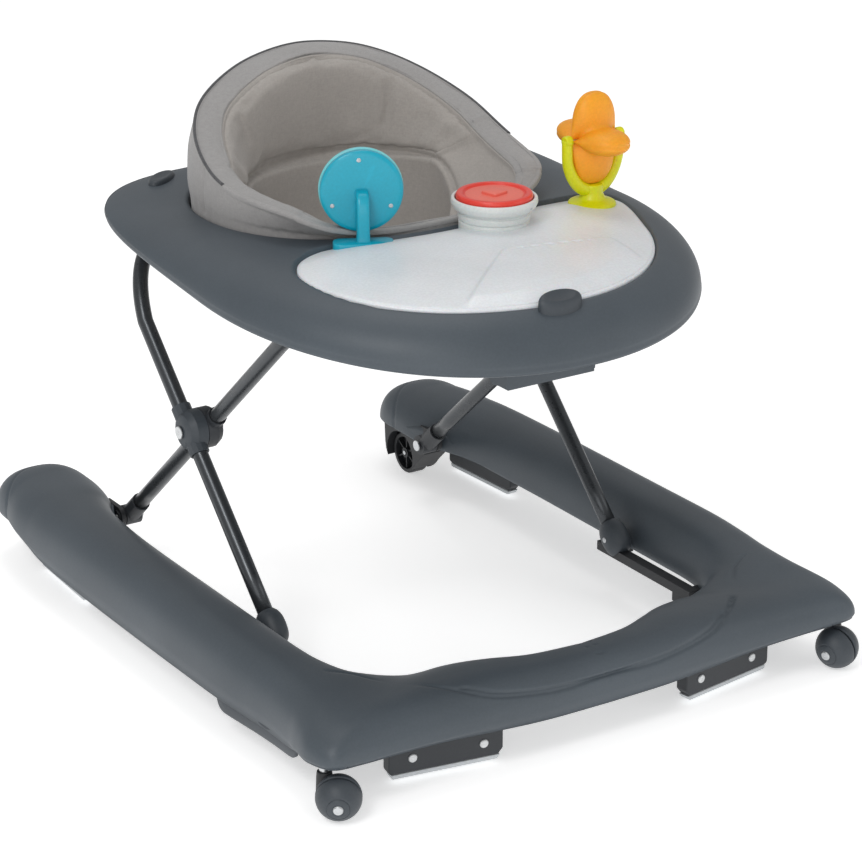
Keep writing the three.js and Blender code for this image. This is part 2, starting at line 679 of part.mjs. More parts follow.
const pinDrill = (x, y, z, radius = PIN_R) =>
  rod(radius + 0.1, 44, 14).rotateY(Math.PI / 2).translate(x, y, z);

// Slider: a moulded shoe that takes the foot of a leg B and runs on its rail.
function slider() {
  const side = new THREE.Shape();
  const y0 = SLIDER_Y - SLIDER_HALF;
  const y1 = SLIDER_Y + SLIDER_HALF;
  const low = RAIL_Z + RAIL_H + RUN + 0.6;
  side.moveTo(y0 + 2, low).lineTo(y1, low).lineTo(y1 + 3, PIVOT_LOW + 8);
  side.quadraticCurveTo(SLIDER_Y + 4, PIVOT_LOW + 24, SLIDER_Y - 4, PIVOT_LOW + 17);
  side.lineTo(y0, PIVOT_LOW + 6).closePath();
  return side;
}

function sliderShoe() {
  const x0 = RAIL_X0 - RUN - 4;
  const x1 = LEG_B_X + TUBE_R + 3.2;
  const cap = plate(slider(), x0, x1, 6);
  const tongue = box(x0, RAIL_X0 - RUN, SLIDER_Y - SLIDER_HALF + 2, SLIDER_Y + SLIDER_HALF, RAIL_Z - 5, 62);
  const lip = box(x0, RAIL_X0 + 3, SLIDER_Y - SLIDER_HALF + 2, SLIDER_Y + SLIDER_HALF,
    RAIL_Z - 5, RAIL_Z - RUN - 0.6);
  const foot = v3(LEG_B_X, SLIDER_Y, PIVOT_LOW);
  const swing = Array.from({ length: 5 }, (_, i) => {
    const angle = BETA - (i / 4) * SLIDER_SWING;
    return rodBetween(along(foot, angle, -1), along(foot, angle, 60), TUBE_R + 2 * RUN, 10);
  });
  const footRoom = rod(TUBE_R + RUN, 2 * TUBE_R + 2, 20).rotateY(Math.PI / 2)
    .translate(LEG_B_X, SLIDER_Y, PIVOT_LOW);
  return cut(join(cap, tongue, lip), footRoom, ...swing, pinDrill(LEG_B_X, SLIDER_Y, PIVOT_LOW, PIN_R + 0.2));
}
const SLIDER_SWING = THREE.MathUtils.degToRad(32);

// Eye pressed into the foot of a leg B, with its cross pin.
function sliderEye() {
  const foot = v3(LEG_B_X, SLIDER_Y, PIVOT_LOW);
  const ball = rod(TUBE_R - 0.4, 2 * TUBE_R - 1.5, 20).rotateY(Math.PI / 2)
    .translate(foot.x, foot.y, foot.z);
  const clear = rodBetween(along(foot, BETA, 9 - GAP), along(foot, BETA, 40), TUBE_R + 1, 12);
  return cut(ball, clear, pinDrill(foot.x, foot.y, foot.z, PIN_R + 0.3));
}

function sliderPin() {
  const x0 = RAIL_X0 - RUN - 5.5;
  const x1 = LEG_B_X + TUBE_R + 4.2;
  return rod(PIN_R - 0.2, x1 - x0, 14).rotateY(Math.PI / 2)
    .translate((x0 + x1) / 2, SLIDER_Y, PIVOT_LOW);
}


// ---------------------------------------------------------------- ring
const SECTION_MID_Y = 100; // sections of the ring fan out from here

// Distance along a heading at which a superellipse-like measure reaches 1.
function reach(measure, heading, from = SECTION_MID_Y) {
  let near = 0;
  let far = 600;
  for (let i = 0; i < 40; i++) {
    const r = (near + far) / 2;
    const inside = measure(r * Math.cos(heading), from + r * Math.sin(heading)) < 1;
    if (inside) near = r;
    else far = r;
  }
  return (near + far) / 2;
}

function ringMeasure(x, y) {
  const front = y < RING_MID;
  const n = front ? RING_FRONT_POWER : RING_REAR_POWER;
  const length = front ? RING_MID - RING_FRONT : RING_REAR - RING_MID;
  return Math.abs(x / RING_HALF) ** n + Math.abs((y - RING_MID) / length) ** n;
}

const openingMeasure = (x, y) =>
  Math.abs(x / OPEN_HALF) ** 2.15 + Math.abs((y - SEAT_MID_Y) / OPEN_LENGTH) ** 2.15;

const rimZ = (y) => mix(RIM_FRONT_Z, RIM_REAR_Z, (y - RING_FRONT) / (RING_REAR - RING_FRONT));
const ringTopZ = (y) => RING_TOP - RING_DIP * smooth(-y / -RING_FRONT) + 3 * smooth((y - 150) / 150);
const deckDepth = (y) => mix(RING_UNDER, ringTopZ(y) - DECK_UNDER_Z, smooth((60 - y) / 80));
const DECK_UNDER_Z = TOY_SEAT_Z - 6;

function ringSection(heading, arcs) {
  const outer = reach(ringMeasure, heading);
  const inner = reach(openingMeasure, heading);
  const at = (r, z) => {
    const y = SECTION_MID_Y + r * Math.sin(heading);
    return v3(r * Math.cos(heading), y, typeof z === "function" ? z(y) : z);
  };
  const edgeY = SECTION_MID_Y + outer * Math.sin(heading);
  const band = Math.min(RING_BAND, (outer - inner) * 0.7);
  const rim = rimZ(edgeY);
  const depth = deckDepth(edgeY);
  const top = [at(outer - 5, rim - 4)];
  const under = [];
  for (let i = 0; i <= arcs; i++) {
    const t = (Math.PI / 2) * (i / arcs);
    const share = Math.sin(t);
    const r = outer - band * (1 - Math.cos(t));
    top.push(at(r, (y) => mix(rim, ringTopZ(y), share)));
    const r2 = outer - RING_UNDER - (band - RING_UNDER) * (1 - Math.cos(t));
    const low = (y) => Math.max(mix(rim, ringTopZ(y) - depth, share), rim - 3.9);
    under.push(at(r2, low));
  }
  top.push(at(inner + 4, ringTopZ), at(inner, (y) => ringTopZ(y) - 4));
  top.push(at(inner, (y) => ringTopZ(y) - depth - RING_LIP));
  under.push(at(inner + 4.5, (y) => ringTopZ(y) - depth));
  under.push(at(inner + 4.5, (y) => ringTopZ(y) - depth - RING_LIP));
  return [...top, ...under.reverse()];
}

function ringSolid(stations = 40, arcs = 4) {
  const loops = Array.from({ length: stations }, (_, i) =>
    ringSection((2 * Math.PI * i) / stations + 0.01, arcs),
  );
  return loft(loops, true);
}

// ---------------------------------------------------------------- toy tray
const TOY_MID_Y = -100;

// Plan outline of the toy tray: a half-moon with a hollow rear edge.
function toyMeasure(x, y) {
  const side = Math.abs(x / TOY_HALF) ** 2.15 + Math.abs((y + 22) / (-22 - TOY_FRONT)) ** 2.15;
  const rearEdge = TOY_REAR - TOY_REAR_SAG * Math.cos((Math.PI / 2) * Math.min(Math.abs(x) / 130, 1));
  const rear = (y - TOY_MID_Y) / (rearEdge - TOY_MID_Y);
  if (y < -22) return side;
  return Math.abs(x / TOY_HALF) ** TOY_SHOULDER + Math.max(rear, 0) ** TOY_SHOULDER;
}

const toyEdgeZ = (y) => ringTopZ(y) - 1 - 3 * smooth((y + 40) / 40);

function toyLoop(stations, inset, z) {
  return Array.from({ length: stations }, (_, i) => {
    const heading = (2 * Math.PI * (i + 0.5)) / stations;
    const r = (reach(toyMeasure, heading, TOY_MID_Y) - inset.edge) * inset.share;
    const x = r * Math.cos(heading);
    const y = TOY_MID_Y + r * Math.sin(heading);
    return v3(x, y, z(y, inset.share));
  });
}

function toySolid(edge = 0, lift = 0, low = TOY_SEAT_Z, stations = 34) {
  const top = (y, share) => toyEdgeZ(y) + TOY_DOME * (1 - share ** 3) + lift;
  const loops = [toyLoop(stations, { edge, share: 1 }, () => low)];
  loops.push(toyLoop(stations, { edge, share: 1 }, (y) => toyEdgeZ(y) - 2 + lift));
  [0.98, 0.86, 0.66, 0.36].forEach((share) =>
    loops.push(toyLoop(stations, { edge, share }, top)),
  );
  return loft(loops);
}

function toyTray() {
  return cut(toySolid(), toySolid(WALL + 1, -WALL, TOY_SEAT_Z - 30, 24));
}

// ---------------------------------------------------------------- toys
const onTray = (geometry) => cut(geometry, toySolid(0, GAP));
const TOY_FOOT_Z = RING_TOP + 2 * GAP;
const MIRROR_HEADING = THREE.MathUtils.degToRad(-27);

function mirrorParts() {
  const place = (g) => g.rotateZ(MIRROR_HEADING).translate(MIRROR.x, MIRROR.y, 0);
  const disc = (r, y0, y1, bevel = 1.5) =>
    turned([
      [0, y0], [r - bevel, y0], [r, y0 + bevel], [r, y1 - bevel], [r - bevel, y1], [0, y1],
    ], 28).rotateX(-Math.PI / 2).translate(0, 0, MIRROR.z);
  const foot = new THREE.Shape();
  foot.moveTo(-22, -11).lineTo(22, -11).absarc(22, -4, 7, -Math.PI / 2, 0);
  foot.lineTo(29, 4).absarc(22, 4, 7, 0, Math.PI / 2).lineTo(-22, 11);
  foot.absarc(-22, 4, 7, Math.PI / 2, Math.PI).lineTo(-29, -4).absarc(-22, -4, 7, Math.PI, 1.5 * Math.PI);
  const base = new THREE.ExtrudeGeometry(foot, { depth: 4, bevelEnabled: false, curveSegments: 4 })
    .translate(0, 0, TOY_FOOT_Z);
  const stem = new THREE.Shape();
  stem.moveTo(-6, TOY_FOOT_Z + 2).lineTo(-6, MIRROR.z - 12);
  stem.quadraticCurveTo(-6, MIRROR.z + 6, 8, MIRROR.z + 6).lineTo(14, MIRROR.z + 6);
  stem.lineTo(14, MIRROR.z - 7).quadraticCurveTo(6.5, MIRROR.z - 7, 6.5, MIRROR.z - 16);
  stem.lineTo(6.5, TOY_FOOT_Z + 2).closePath();
  const post = plate(stem, -6, 6, 5);
  const back = disc(MIRROR.r, 12, 20);
  const bowl = cut(disc(MIRROR.r + 0.6, 20 + GAP, 27), disc(MIRROR.r - 4, 24, 30, 0.2));
  add("toy_mirror_stand", onTray(place(join(base, post, back))), CYAN);
  add("toy_mirror_rim", place(bowl), CYAN);
  add("toy_mirror_glass", place(disc(MIRROR.r - 4.3, 24 + GAP, 26, 0.3)), SILVER);
}

function buttonParts() {
  const { r, z, travel } = BUTTON;
  const place = (g) => g.translate(BUTTON.x, BUTTON.y, 0);
  const drum = turned([
    [0, TOY_FOOT_Z], [34, TOY_FOOT_Z], [34, 437], [35, 439], [r - 1.5, 441], [r, 446], [r - 1.5, z - 4],
    [r - 4, z - 4], [r - 4, z - 9 - travel], [0, z - 9 - travel],
  ], 28);
  add("button_drum", onTray(place(drum)), WHITE);
  const cap = turned([
    [0, z - 8.4], [r - 4 - RUN, z - 8.4], [r - 4 - RUN, z - 3], [r - 6, z], [r - 12, z],
    [r - 14, z - 2], [0, z - 1.5],
  ], 28);
  add("button_cap", place(cap), RED);
}

function spinnerParts() {
  const { x, y, axis, gap, lobe } = SPINNER;
  const place = (g) => g.translate(x, y, 0);
  const half = gap / 2;
  const foot = turned([
    [0, TOY_FOOT_Z], [23, TOY_FOOT_Z], [23, 433], [16, 436], [10, 439], [0, 439],
  ], 24);
  const arc = new THREE.Shape();
  arc.moveTo(-9, 432).lineTo(-9, 440).quadraticCurveTo(-half - 7, 448, -half - 7, axis - 12);
  arc.lineTo(-half - 6, axis).absarc(-half - 2.5, axis, 4.5, Math.PI, 0, true);
  arc.lineTo(-half + 1, axis - 12).quadraticCurveTo(-half + 1, 454, 0, 450.5);
  arc.quadraticCurveTo(half - 1, 454, half - 1, axis - 12).lineTo(half - 2, axis);
  arc.absarc(half + 2.5, axis, 4.5, Math.PI, 0, true).lineTo(half + 7, axis - 12);
  arc.quadraticCurveTo(half + 7, 448, 9, 440).lineTo(9, 432).closePath();
  const fork = new THREE.ExtrudeGeometry(arc, { depth: 9, bevelEnabled: false, curveSegments: 4 })
    .rotateX(Math.PI / 2).translate(0, 4.5, 0);
  const pinHole = rod(1.9, 90, 10).rotateY(Math.PI / 2).translate(0, 0, axis);
  add("spinner_fork", onTray(place(cut(join(foot, fork), pinHole))), YELLOW);
  const pin = rod(1.5, gap + 8, 12).rotateY(Math.PI / 2).translate(0, 0, axis);
  add("spinner_pin", place(pin), BRIGHT);
  const star = starSolid(lobe, half - 4.5).translate(0, 0, axis);
  add("spinner_star", place(cut(star, pinHole)), ORANGE);
}

// Four soft lobes in the YZ plane, thick in the middle and rounded at the edge.
function starSolid(lobe, thick) {
  const count = 24;
  const radius = (t) => mix(lobe * 0.5, lobe, 0.5 + 0.5 * Math.cos(4 * (t + 0.25)));
  const loops = [-1, -0.9, -0.55, 0, 0.55, 0.9, 1].map((u) => {
    const share = Math.max((1 - Math.abs(u) ** 2.6) ** (1 / 1.6), 0.16);
    return Array.from({ length: count }, (_, i) => {
      const t = (2 * Math.PI * i) / count;
      const r = mix(9, radius(t), share);
      return v3(u * thick, r * Math.sin(t), r * Math.cos(t));
    });
  });
  return loft(loops);
}

// ---------------------------------------------------------------- under the ring
// Two side plates with a slot for the cross tube of legs A, joined in front by a grip.
function heightRack() {
  const slotRear = RACK_Y + TUBE_R + RUN;
  const slotFront = RACK_Y - SLOT_TRAVEL - TUBE_R - RUN;
  const topZ = DECK_UNDER_Z - GAP;
  const low = PIVOT_HIGH - TUBE_R - RUN;
  const high = PIVOT_HIGH + TUBE_R + RUN;
  const side = new THREE.Shape();
  side.moveTo(slotRear + 12, topZ).lineTo(slotRear + 12, low - 10);
  side.lineTo(slotFront + 30, low - 16).lineTo(RACK_FRONT + 24, RACK_LOW).lineTo(RACK_FRONT, RACK_LOW + 4);
  side.lineTo(RACK_FRONT, topZ).closePath();
  const slot = new THREE.Path();
  const slotEnd = RACK_Y - SLOT_TRAVEL;
  slot.moveTo(slotEnd, low).lineTo(RACK_Y, low);
  slot.absarc(RACK_Y, PIVOT_HIGH, TUBE_R + RUN, -Math.PI / 2, Math.PI / 2);
  slot.lineTo(slotEnd, high);
  slot.absarc(slotEnd, PIVOT_HIGH, TUBE_R + RUN, Math.PI / 2, 1.5 * Math.PI);
  side.holes.push(slot);
  const right = plate(side, RACK_HALF - 6, RACK_HALF, 6);
  const left = plate(side, -RACK_HALF, -RACK_HALF + 6, 6);
  const grip = box(-RACK_HALF + 1, RACK_HALF - 1, RACK_FRONT, RACK_FRONT + 6, RACK_LOW + 1, topZ);
  const lip = box(-RACK_HALF + 1, RACK_HALF - 1, RACK_FRONT, RACK_FRONT + 24, RACK_LOW + 1, RACK_LOW + 5);
  const hinge = rod(PIN_R + 0.4, 200, 14).rotateY(Math.PI / 2).translate(0, LATCH_Y, LATCH_Z);
  return cut(join(right, left, grip, lip), hinge, ringSolid().translate(0, 0, -GAP));
}
const RACK_HALF = 50;
const RACK_FRONT = -206;
const RACK_LOW = 331;
const LATCH_Y = -150;
const LATCH_Z = 353;

// Squeeze lever that frees the cross tube, on its own pin between the side plates.
function latchLever() {
  const side = new THREE.Shape();
  side.moveTo(RACK_FRONT + 9, LATCH_Z - 16).lineTo(RACK_FRONT + 34, LATCH_Z - 16);
  side.lineTo(LATCH_Y + 6, LATCH_Z - 8).lineTo(LATCH_Y + 62, LATCH_Z + 4);
  side.lineTo(LATCH_Y + 62, LATCH_Z + 16).lineTo(LATCH_Y + 50, LATCH_Z + 9);
  side.lineTo(LATCH_Y, LATCH_Z + 6).lineTo(RACK_FRONT + 9, LATCH_Z - 11).closePath();
  const half = RACK_HALF - 6 - RUN;
  const body = plate(side, -half, half, 4);
  return cut(body, rod(PIN_R + 0.4, 200, 14).rotateY(Math.PI / 2).translate(0, LATCH_Y, LATCH_Z));
}

const latchPin = () =>
  rod(PIN_R - 0.2, 2 * RACK_HALF - 2, 14).rotateY(Math.PI / 2).translate(0, LATCH_Y, LATCH_Z);

// Saddle hung under the ring that carries the cross tube of legs B.
const SADDLE_X = 96;
const SADDLE_TOP = RING_TOP - RING_UNDER - RING_LIP - 2 * GAP;
function saddle() {
  const shape = new THREE.Shape();
  const r = TUBE_R + RUN;
  shape.moveTo(SADDLE_Y + 13, SADDLE_TOP).lineTo(SADDLE_Y + 13, PIVOT_HIGH);
  shape.absarc(SADDLE_Y, PIVOT_HIGH, 13, 0, Math.PI, true);
  shape.lineTo(SADDLE_Y - 13, SADDLE_TOP).closePath();
  const hole = new THREE.Path().absarc(SADDLE_Y, PIVOT_HIGH, r, 0, 2 * Math.PI);
  shape.holes.push(hole);
  return plate(shape, SADDLE_X - 16, SADDLE_X, 12);
}

// ---------------------------------------------------------------- seat
const backTop = (s) => BACK_LOW + BACK_RISE * Math.max((s + 0.35) / 1.35, 0) ** 1.3;

// Padded back: a tall wall round the rear of the opening that falls away to the front.
function seatBack() {
  const from = -0.24;
  const steps = 30;
  const loops = Array.from({ length: steps + 1 }, (_, i) => {
    const t = mix(from, Math.PI - from, i / steps);
    const s = Math.sin(t);
    const top = Math.max(backTop(s), SEAT_HEM + 16);
    const lean = (BACK_LEAN * (top - BACK_LOW)) / BACK_RISE;
    const at = (a, b, z, back = 0) => v3(a * Math.cos(t), BACK_MID_Y + b * s - back, z);
    const pad = BACK_PAD;
    return [
      at(BACK_HALF - 27, BACK_DEPTH - 9, SEAT_HEM + GAP),
      at(BACK_HALF - 27, BACK_DEPTH - 9, 430),
      at(BACK_HALF - 6, BACK_DEPTH - 1, mix(430, top, 0.5), lean / 2),
      at(BACK_HALF, BACK_DEPTH, top - 8, lean),
      at(BACK_HALF - 4, BACK_DEPTH - 4, top, lean),
      at(BACK_HALF - pad, BACK_DEPTH - pad, top - 3, lean),
      at(BACK_HALF - pad - 6, BACK_DEPTH - pad - 4, mix(430, top, 0.5), lean / 2),
      at(BACK_HALF - 27 - pad, BACK_DEPTH - 9 - pad, SEAT_HEM + GAP),
    ];
  });
  return loft(loops);
}
const SEAT_HEM = 398;

// Fabric pan: a bowl hung in the opening, with a hole for each leg.
function seatPan() {
  const profile = [
    [0, PAN_BOTTOM], [88, PAN_BOTTOM], [128, PAN_BOTTOM + 22], [150, PAN_BOTTOM + 66],
    [158, SEAT_HEM], [158 - PAN_WALL, SEAT_HEM], [150 - PAN_WALL, PAN_BOTTOM + 67],
    [125, PAN_BOTTOM + 26], [86, PAN_BOTTOM + PAN_WALL], [0, PAN_BOTTOM + PAN_WALL],
  ];
  const bowl = turned(profile, 28).scale(1, PAN_SHARE, 1).translate(0, PAN_MID_Y, 0);
  const holes = [-1, 1].map((side) =>
    rodBetween(
      v3(side * LEG_HOLE_X, PAN_MID_Y - 30, PAN_BOTTOM + 80),
      v3(side * (LEG_HOLE_X + 22), PAN_MID_Y - 150, PAN_BOTTOM - 40),
      LEG_HOLE_R,
      16,
    ),
  );
  return cut(bowl, ...holes);
}
const PAN_SHARE = 0.84;
const PAN_MID_Y = 130;

// ---------------------------------------------------------------- assembly
add("base_shell", baseShell(), SLATE);
addPair("slide_rail", slideRail(), DARK);
stopAt(163, -272, THREE.MathUtils.degToRad(9), "front");
stopAt(263, 294, THREE.MathUtils.degToRad(93), "rear");
addPair("wheel_housing", wheelHousing(), DARK);
addPair("rear_wheel", rearWheel(), DARK);
addPair("rear_axle", rearAxle(), BRIGHT);
addPair("hinge_pin", hingePin(), BRIGHT);
caster(1, SWIVEL_RIGHT);
caster(-1, SWIVEL_LEFT);

const drillA = pinDrill(LEG_A_X, HUB_Y, HUB_Z);
add("leg_frame_a", cut(legFrameA(), drillA, mirrored(drillA)), STEEL);
addPair("leg_foot", legFoot(), DARK);
addPair("hub_inner", hubClamp(LEG_A_X, Math.PI - ALPHA, HUB_SPLIT - GAP, LEG_A_X - TUBE_R - 3), DARK);

const drillB = pinDrill(LEG_B_X, HUB_Y, HUB_Z);
add("leg_frame_b", cut(legFrameB(), drillB, mirrored(drillB)), STEEL);
addPair("hub_outer", hubClamp(LEG_B_X, BETA, HUB_SPLIT + GAP, LEG_B_X + TUBE_R + 3), SLATE);
addPair("hub_pin", hubPin(), BRIGHT);
addPair("slider_eye", sliderEye(), DARK);
addPair("slider_shoe", sliderShoe(), SLATE);
addPair("slider_pin", sliderPin(), BRIGHT);

add("tray_ring", cut(ringSolid(), toySolid(-GAP * 2, 60, TOY_SEAT_Z - GAP)), SLATE);
add("height_rack", heightRack(), SLATE);
add("latch_lever", latchLever(), DARK);
add("latch_pin", latchPin(), BRIGHT);
addPair("tube_saddle", saddle(), DARK);
add("seat_back", seatBack(), FABRIC);
add("seat_pan", seatPan(), FABRIC_DARK);
add("toy_tray", toyTray(), WHITE);
mirrorParts();
buttonParts();
spinnerParts();

export default walker;
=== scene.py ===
import math

import bmesh
import bpy
import numpy as np
from mathutils import Matrix, Quaternion, Vector


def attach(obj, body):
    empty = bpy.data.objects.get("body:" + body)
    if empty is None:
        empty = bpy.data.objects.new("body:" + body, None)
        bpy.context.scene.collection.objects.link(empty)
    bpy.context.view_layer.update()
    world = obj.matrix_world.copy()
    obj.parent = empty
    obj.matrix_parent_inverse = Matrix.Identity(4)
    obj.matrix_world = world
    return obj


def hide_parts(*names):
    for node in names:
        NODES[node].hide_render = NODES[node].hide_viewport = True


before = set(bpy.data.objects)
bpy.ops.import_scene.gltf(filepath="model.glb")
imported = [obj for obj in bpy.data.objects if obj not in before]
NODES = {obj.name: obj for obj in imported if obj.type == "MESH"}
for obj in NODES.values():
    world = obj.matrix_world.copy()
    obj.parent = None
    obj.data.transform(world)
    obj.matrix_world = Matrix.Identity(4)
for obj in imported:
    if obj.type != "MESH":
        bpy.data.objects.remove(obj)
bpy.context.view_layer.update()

# Shapes are drawn in millimetres, with the walker's plan not yet centred.
SHIFT_Y = -60.15
SIDES = ((1, "right"), (-1, "left"))


# ---------------------------------------------------------------- mesh helpers
def to_frame(points):
    """Drawing millimetres to metres in the row frame."""
    out = np.array(points, float).reshape(-1, 3)
    out[:, 1] += SHIFT_Y
    return out / 1000


def make(name, points, faces, material, smooth=True):
    """A mesh object from points in drawing millimetres, its faces turned outward."""
    mesh = bpy.data.meshes.new(name)
    mesh.from_pydata(to_frame(points).tolist(), [], faces)
    work = bmesh.new()
    work.from_mesh(mesh)
    bmesh.ops.remove_doubles(work, verts=work.verts, dist=1e-6)
    bmesh.ops.recalc_face_normals(work, faces=work.faces)
    work.to_mesh(mesh)
    work.free()
    mesh.polygons.foreach_set("use_smooth", [smooth] * len(mesh.polygons))
    mesh.materials.append(material)
    obj = bpy.data.objects.new(name, mesh)
    bpy.context.scene.collection.objects.link(obj)
    return obj


def grid_faces(n, m, wrap_rows, wrap_cols):
    i = np.arange(n if wrap_rows else n - 1)[:, None]
    j = np.arange(m if wrap_cols else m - 1)[None, :]
    quad = (i * m + j, i * m + (j + 1) % m, (i + 1) % n * m + (j + 1) % m, (i + 1) % n * m + j)
    return np.stack([q.reshape(-1) for q in quad], 1).tolist()


def skin(name, rows, material, wrap_rows=False, wrap_cols=True, caps=False):
    """A surface over rows of points; caps closes both ends with fans."""
    rows = np.asarray(rows, float)
    n, m = rows.shape[:2]
    points = rows.reshape(-1, 3)
    faces = grid_faces(n, m, wrap_rows, wrap_cols)
    if caps:
        for end in (0, n - 1):
            points = np.vstack([points, rows[end].mean(0)])
            hub = len(points) - 1
            faces += [[end * m + j, end * m + (j + 1) % m, hub] for j in range(m)]
    return make(name, points, faces, material)


def turned_rows(profile, segments=64):
    """Rows of points round +Z for a profile of [radius, height]."""
    angles = np.linspace(0, 2 * math.pi, segments, endpoint=False)
    return np.array([[(r * math.cos(a), r * math.sin(a), z) for a in angles] for r, z in profile])


def turned(name, profile, material, place=None, segments=64, caps=True):
    rows = turned_rows(profile, segments)
    if place is not None:
        rows = moved(rows, place)
    return skin(name, rows, material, caps=caps)


def moved(points, matrix):
    points = np.asarray(points, float)
    m = np.array(matrix)
    return points @ m[:3, :3].T + m[:3, 3]


def at(x, y, z, turn=None):
    """A placing matrix: turn (a Matrix or None), then move."""
    base = Matrix.Translation((x, y, z))
    return base @ turn.to_4x4() if turn is not None else base


def turn_to(direction, spin=0.0):
    """Turns +Z to a direction."""
    q = Vector((0, 0, 1)).rotation_difference(Vector(direction).normalized())
    return (q @ Quaternion((0, 0, 1), spin)).to_matrix()


def rounded(profile, radius=1.0, steps=4):
    """Rounds the inner corners of an open [r, z] profile."""
    p = [np.array(v, float) for v in profile]
    out = [p[0]]
    for a, b, c in zip(p, p[1:], p[2:]):
        u, w = a - b, c - b
        cut = min(radius, np.linalg.norm(u) * 0.45, np.linalg.norm(w) * 0.45)
        if cut < 1e-6:
            out.append(b)
            continue
        s, e = b + u / np.linalg.norm(u) * cut, b + w / np.linalg.norm(w) * cut
        for t in np.linspace(0, 1, steps + 1):
            out.append((1 - t) ** 2 * s + 2 * t * (1 - t) * b + t * t * e)
    return [*out, p[-1]]


def sweep_rows(path, radius, sides=24, flat=1.0, up=(0, 0, 1)):
    """Rings of points square to a path, with no twist between them."""
    path = np.asarray(path, float)
    tangents = np.gradient(path, axis=0)
    tangents /= np.linalg.norm(tangents, axis=1)[:, None]
    normal = np.array(up, float)
    radius = np.broadcast_to(radius, len(path))
    rows = []
    for p, t, r in zip(path, tangents, radius):
        normal = normal - t * normal.dot(t)
        normal /= np.linalg.norm(normal)
        side = np.cross(t, normal)
        a = np.linspace(0, 2 * math.pi, sides, endpoint=False)[:, None]
        rows.append(p + r * (np.cos(a) * normal * flat + np.sin(a) * side))
    return np.array(rows)


def rope(name, path, radius, material, closed=False, sides=10, flat=1.0):
    """A thin round bead along a path, such as piping or a weld."""
    if not closed:
        return skin(name, sweep_rows(path, radius, sides, flat), material, caps=True)
    path = np.asarray(path, float)
    loop = np.vstack([path[-2:], path, path[:2]])
    rows = sweep_rows(loop, radius, sides, flat)[2:-2]
    return skin(name, rows, material, wrap_rows=True)


def smooth01(t):
    t = np.clip(t, 0, 1)
    return t * t * (3 - 2 * t)


def signed_power(v, e):
    return np.sign(v) * np.abs(v) ** e


def spline(values, count):
    """Catmull-Rom through rows of values, count points, evenly spaced by row."""
    values = np.asarray(values, float)
    padded = np.vstack([2 * values[0] - values[1], values, 2 * values[-1] - values[-2]])
    u = np.linspace(0, len(values) - 1 - 1e-9, count)
    i = u.astype(int)
    t = (u - i)[:, None]
    a, b, c, d = (padded[i + k] for k in range(4))
    return 0.5 * (
        2 * b + (c - a) * t + (2 * a - 5 * b + 4 * c - d) * t**2 + (3 * b - a - 3 * c + d) * t**3
    )


def distance_to(points, path):
    """Distance from each point to a polyline."""
    best = np.full(len(points), 1e9)
    for a, b in zip(path, path[1:]):
        ab = b - a
        t = np.clip((points - a) @ ab / max(ab @ ab, 1e-9), 0, 1)
        best = np.minimum(best, np.linalg.norm(points - a - t[:, None] * ab, axis=1))
    return best


def row_normals(rows, wrap_rows=False):
    """Unit normals of a grid of points whose columns wrap."""
    across = np.roll(rows, -1, 1) - np.roll(rows, 1, 1)
    if wrap_rows:
        along = np.roll(rows, -1, 0) - np.roll(rows, 1, 0)
    else:
        along = np.gradient(rows, axis=0)
    n = np.cross(along, across)
    return n / np.maximum(np.linalg.norm(n, axis=2, keepdims=True), 1e-9)


def soft_noise(points, scale, seed=0):
    """Smooth pseudo-random values in -1..1 from summed sines, the same every run."""
    rng = np.random.default_rng(seed)
    total = np.zeros(len(points))
    for _ in range(6):
        k = rng.normal(size=3)
        k = k / np.linalg.norm(k) * (2 * math.pi / scale) * rng.uniform(0.6, 1.5)
        total += np.sin(points @ k + rng.uniform(0, 2 * math.pi))
    return total / 6


# ---------------------------------------------------------------- materials
def linear(rgb):
    return tuple((c / 255 / 12.92) if c <= 10 else ((c / 255 + 0.055) / 1.055) ** 2.4 for c in rgb)


